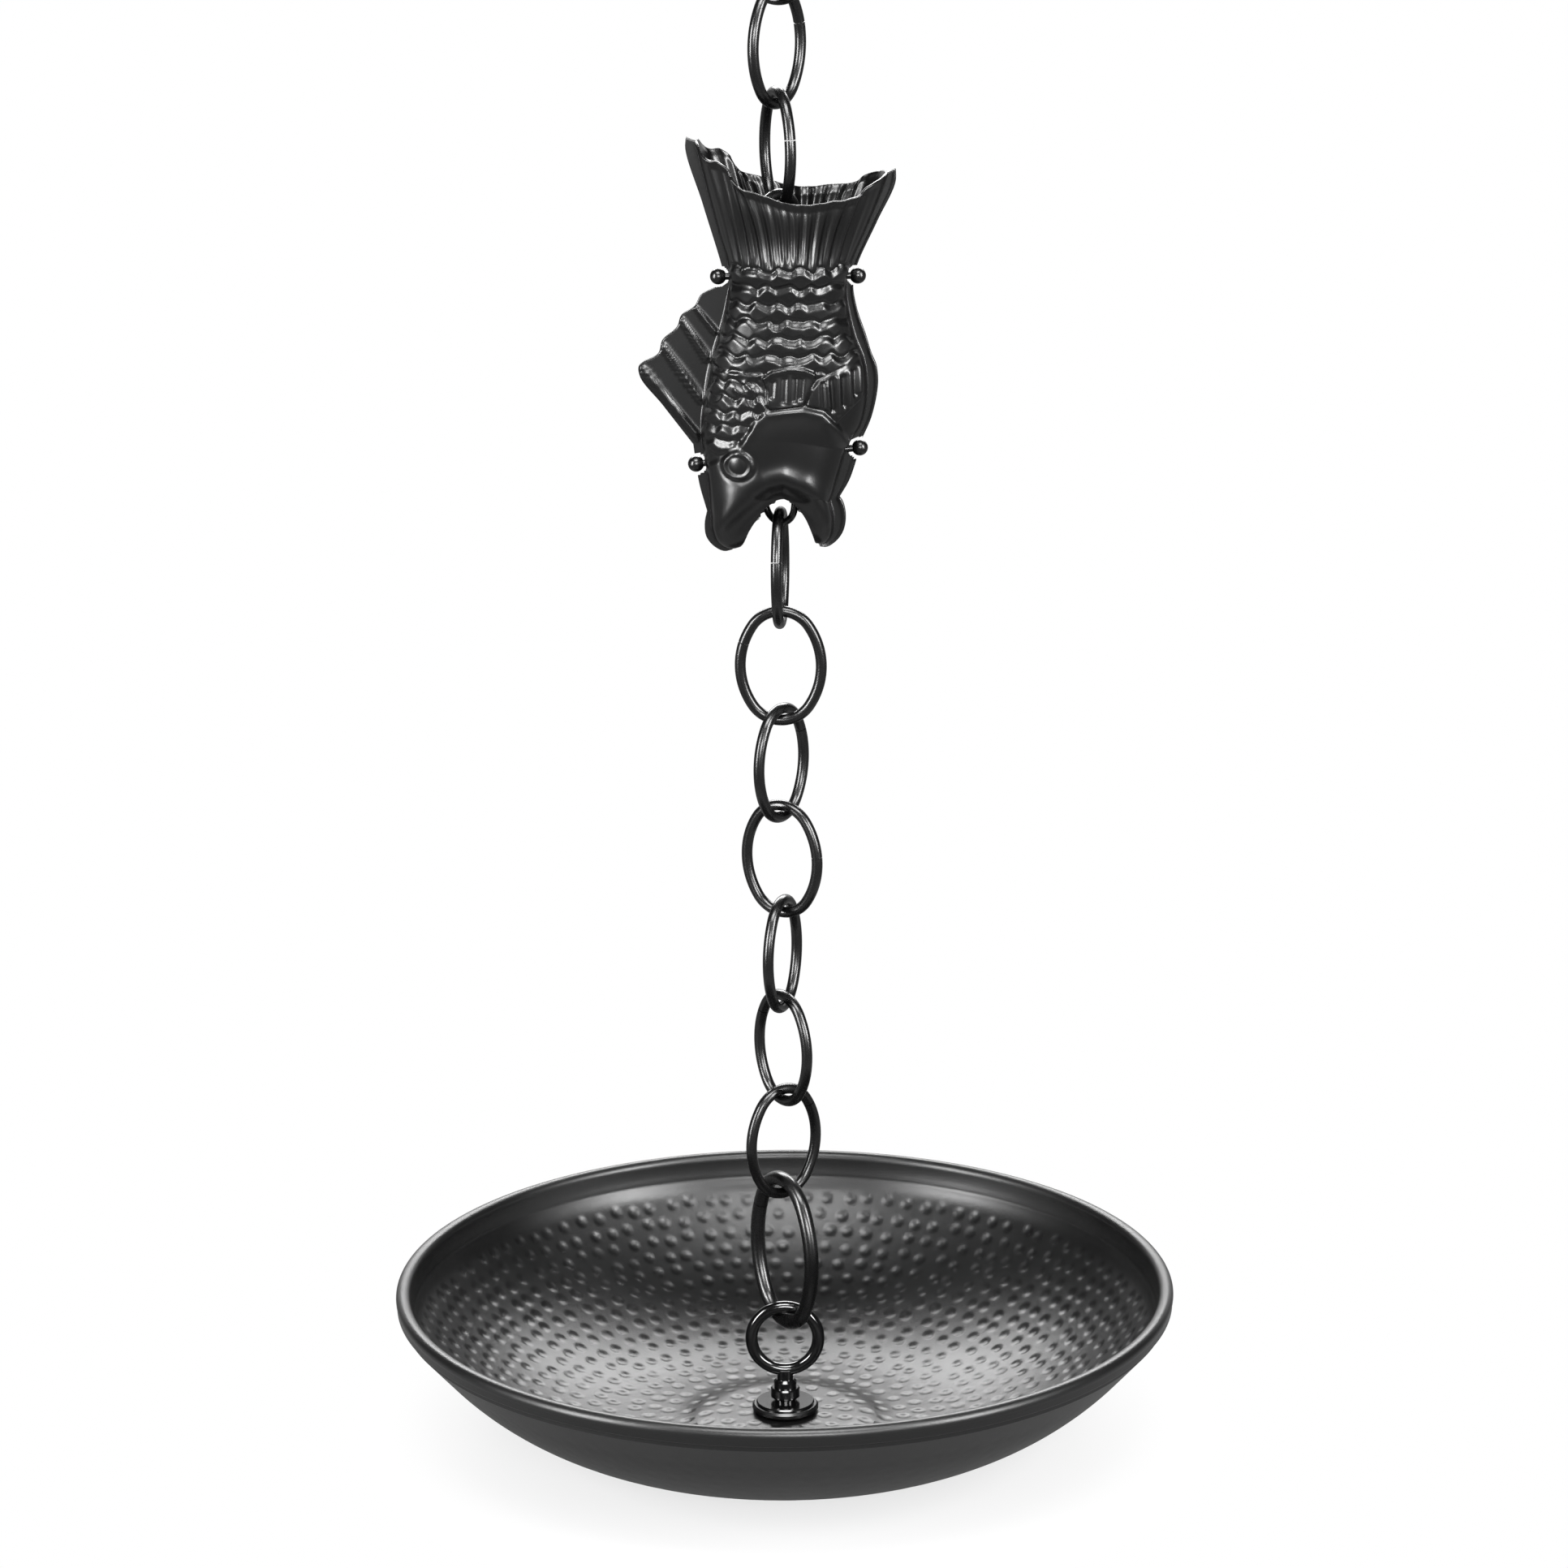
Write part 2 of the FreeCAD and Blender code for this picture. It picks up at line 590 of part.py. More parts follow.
# Eye bolt: a ring in the XZ plane on a collar and a shank that goes down through the basin
eye_radius = (get("eye_diameter") - get("eye_wire")) / 2
ring_centre = (connector_height - connector_reach + (get("connector_wire") + get("eye_wire")) / 2
               + get("seat_play") - eye_radius)
neck_top = ring_centre - eye_radius
collar_top = ring_centre - get("eye_diameter") / 2 - get("neck_height")
collar_bottom = collar_top - get("collar_height")
nut_bottom = collar_bottom - get("nut_height")
sleeve_bottom = nut_bottom - get("sleeve_height")
washer_bottom = sleeve_bottom - get("washer_thickness")
seal_bottom = washer_bottom - get("seal_thickness")
disc_bottom = seal_bottom - get("basin_sheet")
lower_washer_bottom = disc_bottom - get("lower_washer_thickness")
lower_nut_bottom = lower_washer_bottom - get("lower_nut_height")


def turned(name, outline):
    """A body made by turning a closed outline of (radius, height) points about the chain's axis."""
    body = doc.addObject("PartDesign::Body", name)
    sketch = sketch_on(body, "XZ_Plane", name + "_outline")
    for (radius_a, height_a), (radius_b, height_b) in zip(outline, outline[1:] + outline[:1]):
        sketch.addGeometry(Part.LineSegment(Vector(radius_a, height_a, 0), Vector(radius_b, height_b, 0)))
    turning = body.newObject("PartDesign::Revolution", name + "_turning")
    turning.Profile = sketch
    turning.ReferenceAxis = (sketch, ["V_Axis"])
    turning.Angle = 360
    return body


eye_ring = doc.addObject("Part::Torus", "eye_ring")
eye_ring.setExpression("Radius1", "(Sizes.eye_diameter - Sizes.eye_wire) / 2")
eye_ring.setExpression("Radius2", "Sizes.eye_wire / 2")
eye_ring.Placement = Placement(Vector(0, 0, ring_centre), Rotation(Vector(1, 0, 0), 90))
shank_radius = get("shank_diameter") / 2
collar_radius = get("collar_diameter") / 2
collar_chamfer = get("collar_chamfer")
shank = turned("eye_shank", [
    (0, neck_top),
    (get("neck_diameter") / 2, neck_top),
    (get("neck_diameter") / 2, collar_top),
    (collar_radius - collar_chamfer, collar_top),
    (collar_radius, collar_top - collar_chamfer),
    (collar_radius, collar_bottom),
    (shank_radius, collar_bottom),
    (shank_radius, lower_nut_bottom),
    (0, lower_nut_bottom),
])
eye_bolt = doc.addObject("Part::Fuse", "eye_bolt")
eye_bolt.Base = eye_ring
eye_bolt.Tool = shank
keep(eye_bolt, "eye_bolt")

bore_radius = shank_radius + get("thread_clearance")
nut_radius = get("nut_diameter") / 2
nut_chamfer = get("nut_chamfer")
sleeve_radius = get("sleeve_diameter") / 2
keep(turned("eye_nut", [
    (bore_radius, collar_bottom),
    (nut_radius - nut_chamfer, collar_bottom),
    (nut_radius, collar_bottom - nut_chamfer),
    (nut_radius, nut_bottom + nut_chamfer),
    (nut_radius - nut_chamfer, nut_bottom),
    (sleeve_radius, nut_bottom),
    (sleeve_radius, sleeve_bottom),
    (bore_radius, sleeve_bottom),
]), "eye_nut")
washer_radius = get("washer_diameter") / 2
washer_chamfer = get("washer_chamfer")
keep(turned("washer", [
    (bore_radius, sleeve_bottom),
    (washer_radius - washer_chamfer, sleeve_bottom),
    (washer_radius, sleeve_bottom - washer_chamfer),
    (washer_radius, washer_bottom),
    (bore_radius, washer_bottom),
]), "washer")
seal_radius = get("seal_diameter") / 2
seal_round = get("seal_round")
seal_taper = get("seal_taper")
keep(turned("seal_washer", [
    (bore_radius, washer_bottom),
    (seal_radius - seal_round, washer_bottom),
    (seal_radius, washer_bottom - seal_round),
    (seal_radius, seal_bottom + seal_taper),
    (seal_radius - seal_taper, seal_bottom),
    (bore_radius, seal_bottom),
]), "seal_washer")

# Basin: rolled bead, hem band, straight upper wall, round lower wall, floor ring and raised disc
bead_radius = get("bead_radius")
basin_sheet = get("basin_sheet")
bead_centre = get("basin_diameter") / 2 - bead_radius
floor_bottom = disc_bottom - get("disc_rise")
bead_height = floor_bottom + get("basin_depth")
hem_radius = bead_centre + bead_radius / 2
hem_bottom = bead_height - get("hem_height")
wall_radius = hem_radius - get("hem_recess")
foot_radius = get("foot_radius")
wall_drop = hem_bottom - floor_bottom
wall_run = wall_radius - foot_radius
straight = get("wall_straight")
# Radius and turn of the arc that leaves the flat floor in tangency and meets the straight wall
arc_radius = (wall_run**2 + wall_drop**2 - straight**2) / (2 * wall_drop)
wall_turn = math.atan2(wall_run, arc_radius - wall_drop) - math.atan2(straight, arc_radius)


def wall_curve(inset):
    """Corner points and the arc's middle of the wall, inset by part of the sheet."""
    shift = Vector(-math.sin(wall_turn) * inset, math.cos(wall_turn) * inset, 0)
    top = Vector(wall_radius, hem_bottom, 0) + shift
    bend = top - Vector(straight * math.cos(wall_turn), straight * math.sin(wall_turn), 0)
    centre = Vector(foot_radius, floor_bottom + arc_radius, 0)
    middle_turn = wall_turn / 2
    middle = centre + Vector(math.sin(middle_turn), -math.cos(middle_turn), 0) * (arc_radius - inset)
    foot = Vector(foot_radius, floor_bottom + inset, 0)
    return top, bend, middle, foot


outer_top, outer_bend, outer_middle, outer_foot = wall_curve(0)
inner_top, inner_bend, inner_middle, inner_foot = wall_curve(basin_sheet)
hole_radius = shank_radius + get("hole_clearance")
HEM_SIDE = math.radians(-30)
WALL_SIDE = math.radians(-128)


def on_bead(turn):
    """A point on the bead's circle."""
    return Vector(bead_centre + bead_radius * math.cos(turn), bead_height + bead_radius * math.sin(turn), 0)


bead_out = on_bead(HEM_SIDE)
bead_top = on_bead(math.pi / 2)
bead_in = on_bead(WALL_SIDE)
disc_foot = foot_radius - get("flat_ring_width")
disc_edge = disc_foot - get("disc_slope_width")
disc_middle = (disc_foot + disc_edge) / 2


def disc_curve(lift):
    """Floor, lower bend, upper bend and disc edge of the raised middle, at one face of the sheet."""
    low = floor_bottom + lift
    high = disc_bottom + lift
    run = disc_foot - disc_edge
    rise = high - low
    bend_radius = (run * run + rise * rise) / (4 * rise)
    half_turn = math.asin(run / (2 * bend_radius)) / 2
    across = bend_radius * math.sin(half_turn)
    lift_here = bend_radius * (1 - math.cos(half_turn))
    return (
        Vector(disc_foot, low, 0),
        Vector(disc_foot - across, low + lift_here, 0),
        Vector(disc_middle, (low + high) / 2, 0),
        Vector(disc_edge + across, high - lift_here, 0),
        Vector(disc_edge, high, 0),
        Vector(hole_radius, high, 0),
    )


basin = doc.addObject("PartDesign::Body", "basin")
profile = sketch_on(basin, "XZ_Plane", "basin_profile")
under = disc_curve(0)
over = disc_curve(basin_sheet)
band_bottom = Vector(bead_out.x, hem_bottom, 0)
lines = [
    Part.Arc(bead_in, bead_top, bead_out),
    Part.LineSegment(bead_out, band_bottom),
    Part.LineSegment(band_bottom, outer_top),
    Part.LineSegment(outer_top, outer_bend),
    Part.Arc(outer_bend, outer_middle, outer_foot),
    Part.LineSegment(outer_foot, under[0]),
    Part.Arc(under[0], under[1], under[2]),
    Part.Arc(under[2], under[3], under[4]),
    Part.LineSegment(under[4], under[5]),
    Part.LineSegment(under[5], over[5]),
    Part.LineSegment(over[5], over[4]),
    Part.Arc(over[4], over[3], over[2]),
    Part.Arc(over[2], over[1], over[0]),
    Part.LineSegment(over[0], inner_foot),
    Part.Arc(inner_foot, inner_middle, inner_bend),
    Part.LineSegment(inner_bend, inner_top),
    Part.LineSegment(inner_top, bead_in),
]
for line in lines:
    profile.addGeometry(line)
spun = basin.newObject("PartDesign::Revolution", "basin_spinning")
spun.Profile = profile
spun.ReferenceAxis = (profile, ["V_Axis"])
spun.Angle = 360
keep(basin, "basin")

lower_washer_radius = get("lower_washer_diameter") / 2
keep(turned("lower_washer", [
    (bore_radius, disc_bottom),
    (lower_washer_radius, disc_bottom),
    (lower_washer_radius, lower_washer_bottom),
    (bore_radius, lower_washer_bottom),
]), "lower_washer")

hexagon = doc.addObject("Part::Prism", "lower_nut_hexagon")
hexagon.Polygon = 6
hexagon.setExpression("Circumradius", "Sizes.lower_nut_width / sqrt(3)")
hexagon.setExpression("Height", "Sizes.lower_nut_height")
hexagon.Placement.Base = Vector(0, 0, lower_nut_bottom)
nut_hole = doc.addObject("Part::Cylinder", "lower_nut_hole")
nut_hole.setExpression("Radius", "Sizes.shank_diameter / 2 + Sizes.thread_clearance")
nut_hole.setExpression("Height", "Sizes.lower_nut_height")
nut_hole.Placement.Base = Vector(0, 0, lower_nut_bottom)
lower_nut = doc.addObject("Part::Cut", "lower_nut")
lower_nut.Base = hexagon
lower_nut.Tool = nut_hole
keep(lower_nut, "lower_nut")

doc.recompute()
for item in doc.Objects:
    if "Invalid" in item.State or "Error" in item.State:
        raise RuntimeError("%s could not be computed" % item.Name)
os.makedirs("parts", exist_ok=True)
for part in parts:
    shape = part.Shape
    if shape.isNull() or not shape.isValid():
        raise RuntimeError("%s has no valid shape" % part.Label)
    shape.exportStep("parts/%s.step" % part.Label)
    box = shape.BoundBox
    print("%-24s %9.1f mm3  z %8.2f to %8.2f" % (part.Label, shape.Volume, box.ZMin, box.ZMax))
print("link pitch %.2f, basin arc %.2f, wall angle %.2f" % (link_pitch, arc_radius, math.degrees(wall_turn)))
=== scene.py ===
import math
import random

import bpy
import numpy as np
from mathutils import Matrix, Vector


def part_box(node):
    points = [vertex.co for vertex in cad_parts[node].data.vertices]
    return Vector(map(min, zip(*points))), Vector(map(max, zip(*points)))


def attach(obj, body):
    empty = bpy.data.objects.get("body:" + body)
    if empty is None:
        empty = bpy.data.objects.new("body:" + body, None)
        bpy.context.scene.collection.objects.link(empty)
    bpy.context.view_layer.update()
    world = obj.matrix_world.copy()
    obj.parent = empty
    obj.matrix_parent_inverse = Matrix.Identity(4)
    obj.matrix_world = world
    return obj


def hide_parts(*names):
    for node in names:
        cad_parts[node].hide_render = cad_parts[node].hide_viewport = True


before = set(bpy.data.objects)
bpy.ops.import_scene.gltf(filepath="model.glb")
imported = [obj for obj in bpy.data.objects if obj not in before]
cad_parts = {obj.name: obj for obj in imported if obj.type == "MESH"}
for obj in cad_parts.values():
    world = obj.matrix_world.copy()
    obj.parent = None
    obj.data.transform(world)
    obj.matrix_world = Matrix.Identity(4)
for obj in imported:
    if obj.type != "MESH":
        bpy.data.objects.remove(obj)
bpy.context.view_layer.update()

MM = 0.001

# Camera at the photograph's height and angle: a long lens in front of the chain, a little above
# the basin, tipped down and rolled by a fraction of a degree.
camera_data = bpy.data.cameras.new("camera")
camera_data.sensor_width = 36.0
camera_data.lens = 121.67
camera_data.clip_end = 60.0
camera = bpy.data.objects.new("camera", camera_data)
bpy.context.scene.collection.objects.link(camera)
camera_tip = math.radians(90 - 15.876)
camera_roll = math.radians(-0.35)
camera.matrix_world = (
    Matrix.Translation((1.08 * MM, -2200 * MM, 241.99 * MM))
    @ Matrix.Rotation(camera_tip, 4, "X")
    @ Matrix.Rotation(camera_roll, 4, "Z")
)
bpy.context.scene.camera = camera
bpy.context.scene.view_settings.view_transform = "Standard"

# Floor and light: a plain white floor just under the basin that fades into a white background, a dim
# room with a white backdrop behind the chain, and soft lamps above, in front, behind and at both sides.


class Wire:
    """One value in a material: sums and products of wires add the Math nodes that work them out."""

    def __init__(self, finish, socket):
        self.finish = finish
        self.socket = socket

    def __add__(self, other):
        return self.finish.maths("ADD", self, other)

    def __mul__(self, other):
        return self.finish.maths("MULTIPLY", self, other)

    __radd__ = __add__
    __rmul__ = __mul__


class Nodes:
    """A node tree whose nodes are added one by one, with plain values or other nodes fed in."""

    def __init__(self, tree):
        self.tree = tree

    def node(self, kind, out=0, settings=None, **sockets):
        """Add a node. Its inputs are named with _ for each space, or numbered as _0 and so on."""
        made = self.tree.nodes.new(kind)
        for key, value in (settings or {}).items():
            setattr(made, key, value)
        for key, value in sockets.items():
            place = int(key[1:]) if key[0] == "_" else key.replace("_", " ")
            self.feed(made.inputs[place], value)
        return Wire(self, made.outputs[out])

    def feed(self, socket, value):
        if isinstance(value, Wire):
            self.tree.links.new(value.socket, socket)
        else:
            socket.default_value = value

    def maths(self, operation, first, second):
        return self.node("ShaderNodeMath", settings={"operation": operation}, _0=first, _1=second)

    def fade(self, value, low, high, start=0.0, end=1.0):
        """A smooth step from start to end while the value runs from low to high."""
        smooth = {"interpolation_type": "SMOOTHSTEP"}
        return self.node("ShaderNodeMapRange", settings=smooth, _0=value, _1=low, _2=high, _3=start, _4=end)

    def blend(self, share, first, second):
        """A colour between two, by a share from 0 to 1."""
        colours = {"data_type": "RGBA"}
        return self.node("ShaderNodeMix", out=2, settings=colours, _0=share, _6=first, _7=second)

    def shaders(self, share, first, second):
        """A shader between two, by a share from 0 to 1."""
        return self.node("ShaderNodeMixShader", _0=share, _1=first, _2=second)


class Finish(Nodes):
    """A material on one Principled shader."""

    def __init__(self, name, **uniform):
        self.material = bpy.data.materials.new(name)
        self.material.use_nodes = True
        super().__init__(self.material.node_tree)
        self.shader = self.tree.nodes["Principled BSDF"]
        self.output = self.tree.nodes["Material Output"]
        self.set(**uniform)

    def set(self, **sockets):
        for key, value in sockets.items():
            self.feed(self.shader.inputs[key.replace("_", " ")], value)
        return self

    def wear_on(self, *objects):
        """Put this finish on every material slot of these objects."""
        for item in objects:
            if not item.data.materials:
                item.data.materials.append(self.material)
            for index in range(len(item.data.materials)):
                item.data.materials[index] = self.material


FLOOR_GAP = 0.0003
FLOOR_REACH = 14.0
WHITE = (1, 1, 1, 1)

floor_mesh = bpy.data.meshes.new("floor")
floor_corners = [(x * FLOOR_REACH, y * FLOOR_REACH, 0) for x, y in ((-1, -1), (1, -1), (1, 1), (-1, 1))]
floor_mesh.from_pydata(floor_corners, [], [(0, 1, 2, 3)])
floor = bpy.data.objects.new("floor", floor_mesh)
floor.location.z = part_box("basin")[0].z - FLOOR_GAP
bpy.context.scene.collection.objects.link(floor)

# The camera sees the floor whiten away from the shadow, and the paint sees it dim further out
floor_finish = Finish("floor_white", Base_Color=(0.52, 0.52, 0.52, 1), Roughness=1.0, Specular_IOR_Level=0.0)
floor_glow = floor_finish.node("ShaderNodeEmission", Color=WHITE, Strength=1.0)
dim_floor = floor_finish.node("ShaderNodeEmission", Strength=0.24)
lit_floor = Wire(floor_finish, floor_finish.shader.outputs[0])
camera_ray = floor_finish.node("ShaderNodeLightPath")
glossy_ray = floor_finish.node("ShaderNodeLightPath", out=3)
floor_place = floor_finish.node("ShaderNodeTexCoord", out=3)
away = floor_finish.node("ShaderNodeVectorMath", out=1, settings={"operation": "LENGTH"}, _0=floor_place)
whiteness = floor_finish.fade(away, 0.10, 0.20, start=0.72)
dimness = floor_finish.fade(away, 0.25, 0.6, start=0.8)
seen_floor = floor_finish.shaders(glossy_ray * dimness, lit_floor, dim_floor)
shown_floor = floor_finish.shaders(camera_ray * whiteness, seen_floor, floor_glow)
floor_finish.feed(floor_finish.output.inputs[0], shown_floor)
floor_finish.wear_on(floor)

world = bpy.data.worlds.new("studio")
bpy.context.scene.world = world
world.use_nodes = True
world.node_tree.nodes.remove(world.node_tree.nodes["Background"])
studio = Nodes(world.node_tree)
direction = studio.node("ShaderNodeTexCoord")
behind = studio.node("ShaderNodeSeparateXYZ", out=1, _0=direction)
upward = studio.node("ShaderNodeSeparateXYZ", out=2, _0=direction)
band = studio.fade(upward, -0.10, 0.0) * studio.fade(upward, 0.42, 0.60, start=1.0, end=0.0)
backdrop = studio.fade(behind, 0.70, 0.88) * band
glossy_ray = studio.node("ShaderNodeLightPath", out=3)
fill = studio.node("ShaderNodeBackground", Strength=0.24)
dim_room = studio.node("ShaderNodeBackground", Strength=0.025)
white = studio.node("ShaderNodeBackground", Color=WHITE, Strength=1.0)
room = studio.shaders(glossy_ray, fill, dim_room)
room = studio.shaders(glossy_ray * backdrop, room, white)
room = studio.shaders(studio.node("ShaderNodeLightPath"), room, white)
studio.feed(world.node_tree.nodes["World Output"].inputs[0], room)


def soft_lamp(name, place, aim, size, power):
    """A rectangular lamp that faces the point it is aimed at."""
    data = bpy.data.lights.new(name, "AREA")
    data.shape = "RECTANGLE"
    data.size, data.size_y = size
    data.energy = power
    lamp = bpy.data.objects.new(name, data)
    lamp.location = place
    lamp.rotation_euler = (Vector(aim) - Vector(place)).to_track_quat("-Z", "Y").to_euler()
    bpy.context.scene.collection.objects.link(lamp)


chain_middle = (0.0, 0.0, -0.35)
soft_lamp("lamp_above", (0.0, -0.95, 1.5), chain_middle, (1.3, 0.7), 60.0)
soft_lamp("lamp_front", (0.3, -2.9, 0.55), chain_middle, (1.3, 0.6), 80.0)
soft_lamp("lamp_left", (-1.6, -1.0, 0.10), chain_middle, (0.4, 1.3), 62.0)
soft_lamp("lamp_right", (1.5, -1.1, 0.40), chain_middle, (0.4, 1.3), 66.0)
soft_lamp("lamp_behind", (0.0, 1.9, 0.8), (0.0, 0.0, -0.6), (2.2, 0.6), 64.0)

# Chain links: bent from round steel wire with a butt joint left open in one side strand, and
# powder coated satin black, as are the inner link in the tail, the ring in the mouth and the
# connector link above the basin.

PAINT = 0.0012
CLOUD_SCALE, PEEL_SCALE, SPECK_SCALE = 38.0, 1500.0, 3800.0
PEEL_DEPTH = 0.0004


def satin_black(name, roughness, grain):
    """Black powder coat: a fine orange peel over near black, a little uneven in colour and gloss."""
    finish = Finish(name, Specular_IOR_Level=0.55)
    place = finish.node("ShaderNodeTexCoord", out=3)
    cloud = finish.node("ShaderNodeTexNoise", Vector=place, Scale=CLOUD_SCALE, Detail=3.0, Roughness=0.55)
    peel = finish.node("ShaderNodeTexNoise", Vector=place, Scale=PEEL_SCALE, Detail=2.0, Roughness=0.6)
    speck = finish.node("ShaderNodeTexNoise", Vector=place, Scale=SPECK_SCALE, Detail=1.0, Roughness=0.5)
    dark = (PAINT * 0.75, PAINT * 0.75, PAINT * 0.8, 1)
    light = (PAINT * 1.5, PAINT * 1.5, PAINT * 1.55, 1)
    surface = peel * 0.7 + speck * 0.3
    bump = finish.node("ShaderNodeBump", Strength=grain, Distance=PEEL_DEPTH, Height=surface)
    return finish.set(
        Base_Color=finish.blend(cloud * 0.7 + speck * 0.3, dark, light),
        Roughness=roughness - 0.05 + cloud * 0.06 + speck * 0.06,
        Normal=bump,
    )


wire_black = satin_black("wire_black", roughness=0.26, grain=0.05)
link_names = ["top_link", "inner_link", "mouth_ring", "connector_link"]
link_names += ["link_%02d" % index for index in range(1, 10)]
for name in link_names:
    wire_black.wear_on(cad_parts[name])

# Fish cup shells: two halves pressed from thin sheet and crimped together along flat flanges, with
# a ribbed fin on the left. Tail flutes, scales, fins, gill, eye and lips are pressed in the sheet.

# In millimetres. Outline points are (across from the chain, up from the upper rod).
SHEET = 1.1
SEAM = 0.02
LEFT_EDGE = (
    ((-20.2, -117.6), (-23.6, -118.3), (-27.6, -116.5), (-31.2, -112.2), (-32.0, -106.3), (-30.9, -100.7)),
    ((-30.9, -100.7), (-33.9, -89.7), (-34.8, -84.8), (-36.5, -71.7)),
    ((-36.5, -71.7), (-49.2, -54.8), (-58.9, -41.8), (-59.2, -38.3), (-57.4, -36.5), (-50.9, -32.8),
     (-49.1, -27.2), (-42.8, -21.4), (-41.0, -16.6), (-35.2, -12.5), (-32.7, -8.0), (-25.5, -4.3),
     (-21.9, -2.9)),
    ((-21.9, -2.9), (-23.7, 4.5), (-31.5, 31.0), (-38.6, 55.9), (-38.2, 58.9)),
)
LEFT_ROOT = (
    ((-20.1, -115.3), (-23.4, -115.8), (-26.8, -113.8), (-29.0, -108.6), (-29.2, -101.4)),
    ((-29.2, -101.4), (-30.7, -85.5), (-32.9, -71.0)),
    ((-32.9, -71.0), (-33.2, -64.7), (-31.2, -48.7), (-28.3, -34.0), (-23.3, -16.7), (-20.6, -3.0)),
    ((-20.6, -3.0), (-21.0, 5.0), (-24.8, 19.0), (-30.0, 39.0), (-34.6, 57.5)),
)
RIGHT_ROOT = (
    ((16.9, -114.3), (19.2, -114.4), (21.7, -111.7), (22.9, -103.9), (21.4, -96.2)),
    ((21.4, -96.2), (24.5, -86.0), (28.5, -72.0)),
    ((28.5, -72.0), (34.2, -63.7), (37.2, -49.4), (36.1, -35.7), (32.2, -25.3), (28.7, -7.6), (28.6, -1.0)),
    ((28.6, -1.0), (30.6, 6.0), (37.0, 21.0), (43.0, 35.5), (46.0, 43.5)),
)
RIGHT_EDGE = (
    ((16.9, -116.4), (19.6, -116.7), (23.6, -114.4), (26.9, -109.9), (28.1, -102.7), (26.8, -97.0),
     (25.4, -94.9)),
    ((25.4, -94.9), (29.6, -87.5), (32.8, -78.1), (35.2, -69.3)),
    ((35.2, -69.3), (38.7, -61.3), (41.1, -51.8), (41.9, -44.5), (41.2, -38.2), (39.2, -33.3),
     (36.8, -25.3), (33.1, -14.2), (31.5, -4.8), (31.8, -1.0)),
    ((31.8, -1.0), (32.9, 4.0), (41.5, 23.1), (49.4, 40.7), (49.4, 45.1)),
)
MOUTH = ((-20.1, -115.3), (-16.4, -112.6), (-12.9, -105.8), (-9.1, -99.8), (-5.6, -95.0),
         (-1.5, -91.2), (2.3, -90.2), (4.0, -91.3), (7.7, -95.9), (11.1, -101.3), (13.8, -107.8),
         (15.4, -112.4), (16.9, -114.3))
TAIL_RIM = ((-34.6, 57.5), (-28.5, 51.5), (-24.4, 51.3), (-20.4, 47.9), (-16.8, 41.8), (-7.0, 38.3),
            (3.2, 34.9), (12.3, 33.9), (22.2, 35.1), (32.1, 36.4), (38.5, 40.9), (46.0, 43.5))
# Ball nuts, the notch in the flanges round each, and (height, depth) stations of the bulge
BALLS = ((-25.3, 0.0), (33.4, 0.0), (-35.4, -80.4), (34.1, -73.8))
NOTCH = 4.6
DEPTH_STATIONS = ((-116.0, 12.96), (-92.0, 18.0), (-45.0, 21.0), (4.0, 18.0), (40.0, 22.5))
rod_low, rod_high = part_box("upper_cross_rod")
rod_height = (rod_low.z + rod_high.z) / 2 / MM


def travelled(line):
    """Distance from a line's start at each of its points."""
    return np.r_[0, np.cumsum(np.linalg.norm(np.diff(line, axis=0), axis=1))]


def smooth_line(points, count):
    """Points spaced evenly on a smooth line through an outline's points."""
    knots = np.array(points, float)
    steps = np.r_[0, np.cumsum(np.linalg.norm(np.diff(knots, axis=0), axis=1) ** 0.75)]
    tangents = np.gradient(knots, steps, axis=0)
    fine = np.linspace(0, steps[-1], 40 * len(knots))
    index = np.clip(np.searchsorted(steps, fine, side="right") - 1, 0, len(knots) - 2)
    width = (steps[index + 1] - steps[index])[:, None]
    t = (fine[:, None] - steps[index][:, None]) / width
    line = ((2 * t**3 - 3 * t**2 + 1) * knots[index] + (t**3 - 2 * t**2 + t) * width * tangents[index]
            + (3 * t**2 - 2 * t**3) * knots[index + 1] + (t**3 - t**2) * width * tangents[index + 1])
    travel = travelled(line)
    wanted = np.linspace(0, travel[-1], count)
    return np.stack([np.interp(wanted, travel, line[:, axis]) for axis in (0, 1)], axis=1)


def outline(stretches, rows):
    """One (across, up) point for each row of the shell, stretch by stretch."""
    pieces = [smooth_line(stretch, count + 1)[:-1] for stretch, count in zip(stretches, rows)]
    return np.concatenate(pieces + [np.array([stretches[-1][-1]])])


def ease(value, low, high):
    """A smooth step from 0 to 1 while the value runs from low to high."""
    share = np.clip((value - low) / (high - low), 0, 1)
    return share * share * (3 - 2 * share)


def half_depth(up):
    """How far the shell bulges from its flange at each height."""
    depth = np.full_like(up, DEPTH_STATIONS[-1][1])
    for (low, low_depth), (high, high_depth) in reversed(list(zip(DEPTH_STATIONS, DEPTH_STATIONS[1:]))):
        depth = np.where(up <= high, low_depth + (high_depth - low_depth) * ease(up, low, high), depth)
    return depth


def distance_to(points, across, up):
    """Distance from each place to a line through the given points."""
    nearest = np.full_like(across, 1e9)
    for (x0, z0), (x1, z1) in zip(points, points[1:]):
        run = (x1 - x0) ** 2 + (z1 - z0) ** 2
        share = np.clip(((across - x0) * (x1 - x0) + (up - z0) * (z1 - z0)) / run, 0, 1)
        nearest = np.minimum(nearest, np.hypot(across - x0 - share * (x1 - x0), up - z0 - share * (z1 - z0)))
    return nearest


